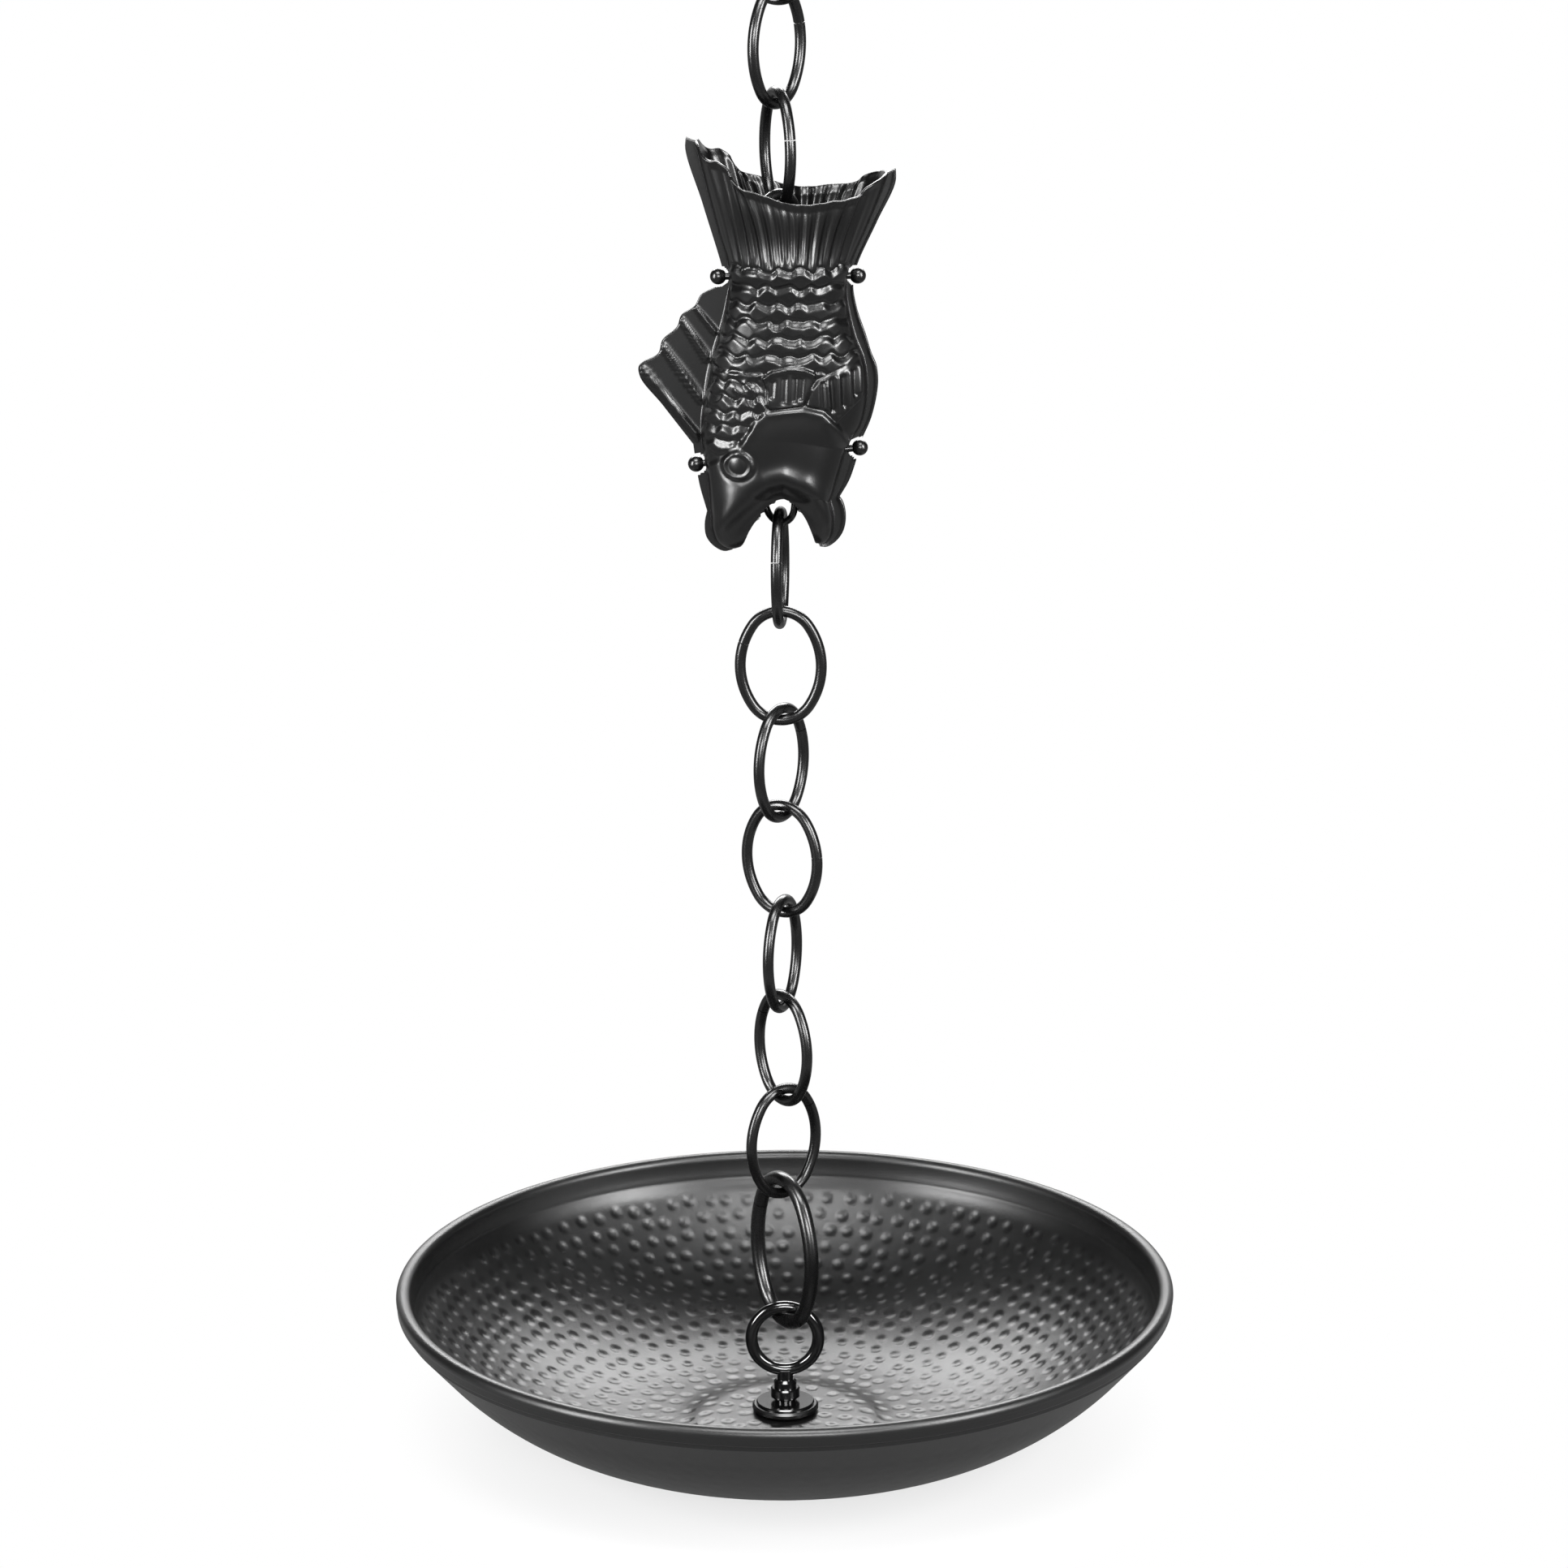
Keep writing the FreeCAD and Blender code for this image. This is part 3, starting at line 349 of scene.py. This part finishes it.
def inside(points, across, up, blur):
    """1 well inside a closed outline, 0 outside, with a soft edge."""
    crossings = np.zeros(across.shape, bool)
    for (x0, z0), (x1, z1) in zip(points, points[1:] + points[:1]):
        straddles = (z0 > up) != (z1 > up)
        crossings ^= straddles & (across < (x1 - x0) * (up - z0) / (z1 - z0 + 1e-12) + x0)
    edge = distance_to(points + points[:1], across, up)
    return ease(np.where(crossings, edge, -edge), -blur, blur)


def crest(distance, width):
    """A rounded ridge over a line: 1 on it, fading with distance."""
    return np.exp(-((distance / width) ** 2))


def crests(lines, across, up, width):
    """Rounded ridges over several lines, as one height."""
    return np.max([crest(distance_to(line, across, up), width) for line in lines], axis=0)


SCALE_EDGE = 3.3
SCALE_GROOVE = 0.35


def scales(across, up, first, pitch, width, arch, rows):
    """Rows of arched scales that overlap like tiles, each highest near its free edge."""
    height = np.zeros_like(across)
    for row in range(rows):
        drift = 0.07 * np.sin(0.37 * across + 2.3 * row) + 0.05 * np.sin(0.9 * across + 1.1 * row)
        sway = 0.45 * np.sin(0.31 * across + 1.9 * row) + 0.3 * np.sin(0.83 * across + 4.1 * row)
        wave = 0.5 + 0.5 * np.cos(2 * np.pi * (across / width + row / 2 + drift))
        below = first - row * pitch + arch * (wave - 0.5) + sway - up
        fall = 1 - 0.8 * below / (pitch + arch / 2)
        tile = ease(below, 0.0, SCALE_EDGE) * fall * (0.76 + 0.3 * wave) + 0.1
        height = np.where(below >= 0, tile, height - SCALE_GROOVE * crest(below + 0.3, 0.8))
    return height


NEAR_FIN = [(-5.2, -50.5), (-5.0, -44.0), (-6.8, -39.4), (-3.1, -36.5), (4.7, -34.7), (10.5, -35.3),
            (15.3, -37.7), (13.0, -44.5), (10.0, -51.0), (3.0, -51.8), (-3.8, -52.4)]
NEAR_LIP = ((-6.8, -39.4), (-3.1, -36.9), (4.7, -35.2), (10.5, -35.8), (15.0, -38.0))
FAR_FIN = [(13.2, -44.5), (16.8, -40.6), (24.0, -37.0), (33.8, -33.0), (35.8, -42.0), (35.6, -49.0),
           (24.0, -59.2), (19.0, -53.0), (11.6, -51.2)]
SLOTS = (
    ((-2.5, -41.0), (-3.0, -47.0)), ((2.4, -39.6), (2.0, -49.0)), ((6.8, -39.4), (6.5, -48.6)),
    ((9.6, -39.6), (8.9, -47.6)), ((17.9, -42.0), (18.2, -52.0)), ((21.9, -40.6), (22.4, -53.5)),
    ((26.6, -40.0), (26.8, -52.0)), ((31.2, -38.0), (31.4, -48.0)),
)
RIDGES = (((19.7, -43.0), (20.6, -52.0)), ((24.4, -40.0), (24.8, -55.0)), ((28.9, -38.5), (29.2, -52.0)),
          ((33.4, -37.0), (33.6, -47.0)))
FOLDS = (
    ((-13.9, -42.2), (-11.4, -43.6), (-9.7, -46.0), (-7.6, -49.8), (-5.9, -53.0)),
    ((-17.6, -45.0), (-14.6, -46.8), (-12.6, -49.8), (-10.8, -53.6), (-9.4, -57.0)),
)
BROW = ((-14.6, -65.6), (-10.5, -58.4), (-5.9, -53.6), (2.0, -52.4), (10.0, -51.8), (18.5, -54.4),
        (24.5, -60.2), (28.8, -67.6))
CHEEK = ((20.2, -58.8), (24.6, -64.0), (27.2, -69.6))
HEAD = [*BROW, (40.0, -80.0), (30.0, -120.0), (-32.0, -120.0), (-32.0, -80.0), (-19.0, -72.0)]
EYE = (-17.1, -77.0)
EYE_RING, EYE_GROOVE, PUPIL = 5.2, 7.2, 3.7
LIP_CREST = ((-27.5, -106.0), (-21.5, -99.5), (-13.5, -91.5), (-6.0, -84.8), (2.5, -82.3), (9.5, -85.3),
             (15.5, -91.0), (20.5, -102.0))
FLUTES = 13
FLUTE_HEIGHT = 0.85
WAIST_SWELL = 3.2
RIM_FLARE = 0.9
FIN_BLUR, HEAD_BLUR = 0.45, 1.6


def tail_relief(up, share, under_rim):
    """Flutes up the tail, a swell at its foot and a rim turned out a little."""
    uneven = 0.4 * np.sin(9.0 * share + 0.7) + 0.3 * np.sin(21.0 * share)
    flutes = FLUTE_HEIGHT * np.cos(2 * FLUTES * np.pi * share + uneven)
    flutes = flutes * ease(up + 3.0 * uneven, 4.0, 12.0) * (1 - 0.5 * ease(up, 22.0, 40.0))
    flutes = flutes * ease(share, 0.02, 0.16) * (1 - ease(share, 0.86, 0.98))
    swell = WAIST_SWELL * crest(up - 5.5, 10.0) * 4 * share * (1 - share)
    return flutes + swell + RIM_FLARE * (1 - ease(under_rim, 0.0, 4.0))


def scale_relief(across, up):
    """Scale rows from the tail's foot to the fins, and finer ones down the left side to the eye."""
    upper = scales(across, up, first=5.8, pitch=7.25, width=8.9, arch=1.9, rows=7)
    lower = scales(across, up, first=-35.6, pitch=6.3, width=7.6, arch=2.0, rows=7)
    left = 1 - ease(across + 0.25 * (up + 50), -8.0, -4.5)
    left = left * (1 - ease(up, -38.5, -36.5)) * ease(up, -76.0, -71.0)
    return 1.8 * upper * ease(up, -40.0, -37.0) + 1.45 * lower * left


def fin_relief(across, up, near, far):
    """Two raised side fins with slots, the near one with a lip and the far one with ridges."""
    slots = crests(SLOTS, across, up, 0.95) * np.maximum(near, far)
    ridges = crests(RIDGES, across, up, 1.2) * far
    lip = crest(distance_to(NEAR_LIP, across, up), 1.3) * near
    return 1.7 * near + 1.05 * far + 0.8 * lip - 0.9 * slots + 0.8 * ridges


def eye_relief(across, up):
    """A ring in a shallow groove with a domed pupil."""
    away = np.hypot(across - EYE[0], up - EYE[1])
    ring = 0.95 * crest(away - EYE_RING, 1.15) - 0.3 * crest(away - EYE_GROOVE, 0.9)
    return ring + 0.8 * np.sqrt(np.clip(1 - (away / PUPIL) ** 2, 0, 1))


def head_relief(across, up, head, near):
    """A raised and domed head with a brow ridge, a groove outside the brow and a fold in the cheek."""
    dome = np.clip(1 - ((across - 3.0) / 25.0) ** 2 - ((up + 72.0) / 22.0) ** 2, 0, 1)
    from_brow = distance_to(BROW, across, up)
    raised = head * (1.3 + 1.6 * dome + 0.5 * crest(from_brow, 2.6))
    groove = 0.5 * (1 - head) * (1 - near) * crest(from_brow, 0.9)
    return raised - groove + 0.6 * crest(distance_to(CHEEK, across, up), 2.0)


def lip_relief(across, up, share):
    """A rounded crest over the lips that fades at the mouth's edge and at both flanges."""
    lips = 1.5 * crest(distance_to(LIP_CREST, across, up), 4.2)
    lips = lips * ease(distance_to(MOUTH, across, up), 0.0, 4.0)
    return lips * ease(share, 0.0, 0.12) * (1 - ease(share, 0.88, 1.0))


def relief(across, up, share, under_rim):
    """The whole pressed pattern of a shell, as a height along its normal."""
    near = inside(NEAR_FIN, across, up, FIN_BLUR)
    far = inside(FAR_FIN, across, up, FIN_BLUR) * (1 - near)
    head = inside(HEAD, across, up, HEAD_BLUR)
    folds = 0.8 * crests(FOLDS, across, up, 1.1) * (1 - near) * (1 - head)
    tiles = scale_relief(across, up) * (1 - near) * (1 - far) * (1 - head)
    pressed = tail_relief(up, share, under_rim) + tiles + folds + eye_relief(across, up)
    pressed = pressed + fin_relief(across, up, near, far) + head_relief(across, up, head, near)
    middle = ease(share, 0.0, 0.05) * (1 - ease(share, 0.95, 1.0))
    return middle * pressed + lip_relief(across, up, share)


FIN_RIBS = (
    ((-35.0, -12.8), (-26.0, -24.3), 1.2),
    ((-41.6, -17.2), (-28.2, -37.3), 1.6),
    ((-49.6, -28.0), (-31.9, -54.0), 1.6),
    ((-58.4, -37.6), (-34.0, -68.5), 1.3),
)
FIN_BEAD = ((-34.6, -69.6), (-47.4, -53.4), (-56.8, -40.8))
RIB_HEIGHT = 1.25
FIN_BEAD_HEIGHT = 0.5


def ribs(across, up):
    """Folds pressed in the fin, steep on one side, and a bead along its lower edge."""
    height = FIN_BEAD_HEIGHT * crest(distance_to(FIN_BEAD, across, up), 0.7)
    for (x0, z0), (x1, z1), spread in FIN_RIBS:
        run = math.hypot(x1 - x0, z1 - z0)
        share = ((across - x0) * (x1 - x0) + (up - z0) * (z1 - z0)) / run**2
        side = ((up - z0) * (x1 - x0) - (across - x0) * (z1 - z0)) / run
        width = spread * (0.6 + 0.5 * np.clip(share, 0, 1))
        fold = ease(side, -0.95 * width, -0.45 * width) * (1 - ease(side, -0.1 * width, 1.6 * width))
        fold = fold * ease(share, -0.02, 0.05) * (1 - ease(share, 0.94, 1.03))
        height = np.maximum(height, RIB_HEIGHT * fold)
    return height


# Rows of the mesh in each stretch from the lips to the tail's rim, its columns, the heights of the
# right flange's hem from root to edge, and the steps of the finely drawn mouth and rim
SHELL_ROWS = (26, 36, 132, 94)
SHELL_COLUMNS = 146
FIN_COLUMNS = 18
HEM = (0.0, 0.0, 0.05, 0.1, 0.5, 0.35)
FINE = 800
# Exponent of the shell's section, how much fuller it gets at the mouth, and the shares of the rows
# over which it does so and over which the mouth's and the tail's edges bend the rows
SECTION, MOUTH_SECTION = 2.3, 1.9
SECTION_SHARE, MOUTH_SHARE, TAIL_SHARE = 0.22, 0.42, 0.30


def flange(edge, root, count):
    """Flat (column, row) points from a shell's edge to the foot of its bulge."""
    steps = (np.arange(count) / count)[:, None, None]
    return edge[None] * (1 - steps) + root[None, :, [0, 2]] * steps


def skin(flat, lift):
    """Points in space over flat (across, up) ones, lifted to the front."""
    return np.stack([flat[..., 0], np.full(flat.shape[:2], -SEAM) - lift, flat[..., 1]], axis=2)


def shell_arrays():
    """Outer and inner skins of the front shell as (column, row, xyz) arrays, flange to flange."""
    left_edge, left_root, right_root, right_edge = (
        outline(stretches, SHELL_ROWS) for stretches in (LEFT_EDGE, LEFT_ROOT, RIGHT_ROOT, RIGHT_EDGE)
    )
    last = len(left_root) - 1
    even = np.arange(SHELL_COLUMNS + 1) / SHELL_COLUMNS
    share = (0.35 * (1 - np.cos(np.pi * even)) + 0.30 * even)[:, None]
    row = np.arange(last + 1)[None, :]
    chord = left_root[None] * (1 - share[..., None]) + right_root[None] * share[..., None]
    fine = np.round(FINE * share[:, 0]).astype(int)
    mouth_sag = smooth_line(MOUTH, FINE + 1)[fine] - chord[:, 0]
    rim_sag = smooth_line(TAIL_RIM, FINE + 1)[fine] - chord[:, last]
    mouth_pull = np.clip(1 - row / (MOUTH_SHARE * last), 0, 1) ** 2
    rim_pull = np.clip((row - (1 - TAIL_SHARE) * last) / (TAIL_SHARE * last), 0, 1) ** 2
    flat = chord + mouth_sag[:, None] * mouth_pull[..., None] + rim_sag[:, None] * rim_pull[..., None]
    fullness = SECTION + MOUTH_SECTION * np.clip(1 - row / (SECTION_SHARE * last), 0, 1)
    depth = half_depth(chord[..., 1]) * np.sqrt(1 - np.abs(2 * share - 1) ** fullness)
    base = skin(flat, SHEET + depth)
    normal = np.cross(np.gradient(base, axis=0), np.gradient(base, axis=1))
    normal /= np.linalg.norm(normal, axis=2, keepdims=True)
    normal[0] = (-1, 0, 0)
    normal[-1] = (1, 0, 0)
    under_rim = base[:, -1:, 2] - base[..., 2]
    outer = base + normal * relief(base[..., 0], base[..., 2], share, under_rim)[..., None]
    inner = outer - normal * SHEET
    for column, inward in ((0, SHEET), (-1, -SHEET)):
        outer[column] = base[column]
        inner[column] = base[column] + np.array([inward, 0, 0])
        inner[column, :, 1] = -SEAM

    left_flat = flange(left_edge, base[0], FIN_COLUMNS)
    left_outer = skin(left_flat, SHEET + ribs(left_flat[..., 0], left_flat[..., 1]))
    left_inner = skin(flange(left_edge, inner[0], FIN_COLUMNS), 0.0)
    right_outer = skin(flange(right_edge, base[-1], len(HEM))[::-1], SHEET + np.array(HEM)[:, None])
    right_inner = skin(flange(right_edge, inner[-1], len(HEM))[::-1], 0.0)
    outer = np.concatenate([left_outer, outer, right_outer])
    inner = np.concatenate([left_inner, inner, right_inner])
    return outer, inner


def quads_of(columns, rows, start, flip):
    """Faces of a grid of points laid out column by column."""
    index = start + np.arange(columns * rows).reshape(columns, rows)
    corners = [index[:-1, :-1], index[1:, :-1], index[1:, 1:], index[:-1, 1:]]
    faces = np.stack(corners, axis=2).reshape(-1, 4)
    return faces[:, ::-1] if flip else faces


def mesh_piece(name, points, faces):
    """A smooth mesh object from points in metres and four sided faces."""
    mesh = bpy.data.meshes.new(name)
    mesh.from_pydata(points.tolist(), [], faces.tolist())
    mesh.validate()
    mesh.polygons.foreach_set("use_smooth", [True] * len(mesh.polygons))
    piece = bpy.data.objects.new(name, mesh)
    bpy.context.scene.collection.objects.link(piece)
    return piece


FLANGE_RELIEF = 1.3


def shell_piece(name, side):
    """One shell with its flanges notched round the balls: side is -1 in front, 1 for the mirror image."""
    outer, inner = shell_arrays()
    columns, rows = outer.shape[:2]
    count = columns * rows
    points = np.concatenate([outer.reshape(-1, 3), inner.reshape(-1, 3)])
    index = np.arange(count).reshape(columns, rows)
    border = np.concatenate([index[:, 0], index[-1, 1:], index[::-1, -1][1:], index[0, ::-1][1:-1]])
    following = np.roll(border, -1)
    rim = np.stack([following, border, border + count, following + count], axis=1)
    faces = np.concatenate([quads_of(columns, rows, 0, False), quads_of(columns, rows, count, True), rim])
    if side > 0:
        points = points * np.array([1, -1, 1])
        faces = faces[:, ::-1]
    in_flange = np.abs(points[:, 1]) < SEAM + SHEET + FLANGE_RELIEF
    near_ball = np.zeros(len(points), bool)
    for ball_x, ball_z in BALLS:
        near_ball |= np.hypot(points[:, 0] - ball_x, points[:, 2] - ball_z) < NOTCH
    notched = (near_ball & in_flange)[faces].any(axis=1)
    piece = mesh_piece(name, (points + np.array([0, 0, rod_height])) * MM, faces[~notched])
    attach(piece, "fish")
    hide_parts("fish_front_shell" if side < 0 else "fish_back_shell")
    return piece


pressed_black = satin_black("pressed_black", roughness=0.29, grain=0.03)
front_half = shell_piece("fish_front", -1)
back_half = shell_piece("fish_back", 1)
pressed_black.wear_on(front_half, back_half)

# Cross rods and ball nuts: turned steel, powder coated satin black. Two rods hold the shells
# together and carry them on the chain, each closed by a round ball nut at both ends.

turned_black = satin_black("turned_black", roughness=0.26, grain=0.06)
for level in ("upper", "lower"):
    for piece in ("cross_rod", "left_ball_nut", "right_ball_nut"):
        turned_black.wear_on(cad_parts[level + "_" + piece])

# Basin: one spun steel dish with a rolled bead, a short hem under it, a round wall and a raised
# middle, hammered all over from inside with round dents, and powder coated.

BEAD = 3.2 * MM
BASIN_SHEET = 1.2 * MM
HEM_HEIGHT = 7.0 * MM
HEM_GAP = 0.6 * MM
WALL_TURN = math.radians(48.5)
FOOT_CIRCLE = 61.0 * MM
DISC_RISE, DISC_EDGE, DISC_FOOT, BOLT_HOLE = 4.1 * MM, 30.0 * MM, 52.0 * MM, 3.2 * MM

basin_low, basin_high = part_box("basin")
floor_under = basin_low.z
bead_middle = basin_high.x - BEAD
bead_up = basin_high.z - BEAD
hem_foot = bead_up - HEM_HEIGHT
wall_top = bead_middle + BEAD / 2 - HEM_GAP - BASIN_SHEET * 0.2
wall_run = wall_top - FOOT_CIRCLE
wall_drop = hem_foot - floor_under
wall_arc = (wall_run * math.sin(WALL_TURN) - wall_drop * math.cos(WALL_TURN)) / (1 - math.cos(WALL_TURN))


def dish_profile(inset, step):
    """(radius, height) points from the bolt hole to the bead, on one face of the sheet."""
    run = DISC_FOOT - DISC_EDGE
    bend = (run * run + DISC_RISE**2) / (4 * DISC_RISE)
    floor_up = floor_under + inset
    top = floor_up + DISC_RISE
    points = [(BOLT_HOLE, top)]

    def straight_to(radius, height):
        start = points[-1]
        count = max(1, round(math.hypot(radius - start[0], height - start[1]) / step))
        for index in range(1, count + 1):
            share = index / count
            points.append((start[0] + (radius - start[0]) * share, start[1] + (height - start[1]) * share))

    straight_to(DISC_EDGE, top)
    count = max(2, round(run / step))
    for index in range(1, count + 1):
        along = run * index / count
        if along <= run / 2:
            drop = bend - math.sqrt(bend**2 - along**2)
        else:
            drop = DISC_RISE - (bend - math.sqrt(bend**2 - (run - along) ** 2))
        points.append((DISC_EDGE + along, top - drop))
    straight_to(FOOT_CIRCLE, floor_up)
    radius = wall_arc - inset
    count = round(radius * WALL_TURN / step)
    for index in range(1, count + 1):
        turn = WALL_TURN * index / count
        height = floor_under + wall_arc - radius * math.cos(turn)
        points.append((FOOT_CIRCLE + radius * math.sin(turn), height))
    straight_to(wall_top - inset * math.sin(WALL_TURN), hem_foot + inset * math.cos(WALL_TURN))
    return points


DENT_STEP = 8.6 * MM
DENT_SPACING = 9.4 * MM
DENT_RADIUS = (2.6, 3.05)
DENT_DEPTH = (0.34, 0.54)
DENT_STRAY = 1.1
TURN_STRAY = 0.16


def dents(first, last, radius_at):
    """Hammer dents as (distance along the sheet, turn, radius, depth), in uneven staggered rings."""
    rng = random.Random(5)
    found = []
    along = first
    while along < last:
        count = max(6, round(2 * math.pi * radius_at(along) / DENT_SPACING))
        start = rng.random() * 2 * math.pi
        for index in range(count):
            turn = start + 2 * math.pi * (index + rng.uniform(-TURN_STRAY, TURN_STRAY)) / count
            place = along + rng.uniform(-DENT_STRAY, DENT_STRAY) * MM
            found.append((place, turn, rng.uniform(*DENT_RADIUS) * MM, rng.uniform(*DENT_DEPTH) * MM))
        along += DENT_STEP
    return found


def ring_skin(name, profile, low, high, lift, segments, flip):
    """A turned skin between two profile stations whose points are lifted along their normals."""
    part = profile[low:high + 1]
    turns = np.linspace(0, 2 * math.pi, segments, endpoint=False)
    tangent = np.gradient(profile, axis=0)[low:high + 1]
    tangent /= np.linalg.norm(tangent, axis=1, keepdims=True)
    across = -tangent[:, 1:2]
    raised = lift[low:high + 1]
    radius = part[:, 0:1] + across * raised
    height = part[:, 1:2] + tangent[:, 0:1] * raised
    points = np.stack([radius * np.cos(turns), radius * np.sin(turns), height], axis=2).reshape(-1, 3)
    index = np.arange(len(part) * segments).reshape(len(part), segments)
    following = np.roll(index, -1, axis=1)
    faces = np.stack([index[:-1], index[1:], following[1:], following[:-1]], axis=2).reshape(-1, 4)
    piece = mesh_piece(name, points, faces if flip else faces[:, ::-1])
    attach(piece, "basin")
    return piece


DENT_REACH = 1.3


def dented(profile, segments, pattern, depth_share):
    """Lift of every point of a turned skin: minus the depth of the dent that it lies in."""
    along = travelled(profile)
    lift = np.zeros((len(profile), segments))
    for place, turn, radius, depth in pattern:
        reach = radius * DENT_REACH
        low, high = np.searchsorted(along, (place - reach, place + reach))
        if high <= low:
            continue
        around = max(np.interp(place, along, profile[:, 0]), 1e-4)
        half = int(math.ceil(reach / around / (2 * math.pi) * segments)) + 1
        middle = int(round(turn / (2 * math.pi) * segments))
        columns = np.arange(middle - half, middle + half + 1)
        turns = columns * 2 * math.pi / segments - turn
        distance = np.hypot((along[low:high, None] - place), turns[None] * around) / radius
        bowl = 0.75 * (1 - ease(distance, 0.45, 1.08)) + 0.25 * np.clip(1 - distance**2, 0, 1)
        lift[low:high, columns % segments] -= depth * depth_share * bowl
    return lift


TURN_UP_RUN = 9.0 * MM
TURN_UP_PULL = 6.0 * MM
TURN_UP_STEPS = 18


def turned_up(profile):
    """The inside profile with its top turned up smoothly into the bead."""
    leave = int(np.searchsorted(profile[:, 0], profile[-1, 0] - TURN_UP_RUN))
    start = profile[leave]
    end = np.array([bead_middle - BEAD, bead_up])
    start_pull = start + np.array([math.cos(WALL_TURN), math.sin(WALL_TURN)]) * TURN_UP_PULL
    end_pull = end - np.array([0, TURN_UP_PULL])
    share = (np.arange(1, TURN_UP_STEPS + 1) / TURN_UP_STEPS)[:, None]
    curve = start * (1 - share) ** 3 + start_pull * 3 * share * (1 - share) ** 2
    curve = curve + end_pull * 3 * share**2 * (1 - share) + end * share**3
    return np.concatenate([profile[:leave + 1], curve])


INSIDE_STEP, OUTSIDE_STEP = 1.05 * MM, 2.4 * MM
FIRST_RING, LAST_RING_UNDER_BEAD = 15.5 * MM, 12.0 * MM
GROOVE_DEPTH, GROOVE_WIDTH, GROOVE_UNDER_BEAD = 0.28 * MM, 0.9 * MM, 8.5 * MM
OUTSIDE_SHARE = -0.18
OUTSIDE_SEGMENTS, BEAD_SEGMENTS = 720, 512
HEM_UNDER = 4.4 * MM

inside_profile = turned_up(np.array(dish_profile(BASIN_SHEET, INSIDE_STEP)))
inside_along = travelled(inside_profile)
inside_length = inside_along[-1]


def inside_radius(along):
    """Radius of the inside profile at a distance along it."""
    return np.interp(along, inside_along, inside_profile[:, 0])


hammer = dents(FIRST_RING, inside_length - LAST_RING_UNDER_BEAD, inside_radius)
groove = -GROOVE_DEPTH * crest(inside_along - (inside_length - GROOVE_UNDER_BEAD), GROOVE_WIDTH)
hammered_black = satin_black("hammered_black", roughness=0.36, grain=0.16)

# The inside is in three pieces, finer outwards, that meet between two rings of dents
last_station = len(inside_profile) - 1
first_break = int(np.searchsorted(inside_along, FIRST_RING + 2.5 * DENT_STEP))
second_break = int(np.searchsorted(inside_along, FIRST_RING + 10.5 * DENT_STEP))
basin_pieces = []
for name, low, high, segments in (
    ("basin_middle", 0, first_break, 320),
    ("basin_floor", first_break, second_break, 704),
    ("basin_wall", second_break, last_station, 1024),
):
    lift = dented(inside_profile, segments, hammer, 1.0) + groove[:, None]
    basin_pieces.append(ring_skin(name, inside_profile, low, high, lift, segments, True))

outside = np.array(dish_profile(0.0, OUTSIDE_STEP))
last = len(outside) - 1
lift = dented(outside, OUTSIDE_SEGMENTS, hammer, OUTSIDE_SHARE)
basin_pieces.append(ring_skin("basin_outside", outside, 0, last, lift, OUTSIDE_SEGMENTS, False))

bead_turns = [math.radians(degrees) for degrees in range(-30, 181, 10)]
bead = [(bead_middle + BEAD * math.cos(turn), bead_up + BEAD * math.sin(turn)) for turn in bead_turns]
hem_side = bead[0][0]
hem_under = bead_up - HEM_UNDER
hem = [(wall_top, hem_foot + 0.4 * MM), (wall_top + 0.1 * MM, hem_under - 0.5 * MM),
       (wall_top + 0.2 * MM, hem_under), (hem_side - 0.25 * MM, hem_under), (hem_side, hem_under + 0.35 * MM)]
edge = np.array([tuple(outside[-1])] + hem + bead)
lift = np.zeros((len(edge), BEAD_SEGMENTS))
basin_pieces.append(ring_skin("basin_bead", edge, 0, len(edge) - 1, lift, BEAD_SEGMENTS, False))
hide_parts("basin")
hammered_black.wear_on(*basin_pieces)

# Eye bolt and its stack: a welded steel ring on a turned collar, a nut with a sleeve, a flat washer
# and a rubber seal on the basin's floor, a washer and a thin nut under it. The steel is glossy black.

glossy_black = satin_black("glossy_black", roughness=0.15, grain=0.03)
glossy_black.set(Coat_Weight=0.25, Coat_Roughness=0.08)
for name in ("eye_bolt", "eye_nut", "washer", "lower_washer", "lower_nut"):
    glossy_black.wear_on(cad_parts[name])
seal_black = satin_black("seal_black", roughness=0.28, grain=0.03)
seal_black.wear_on(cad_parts["seal_washer"])
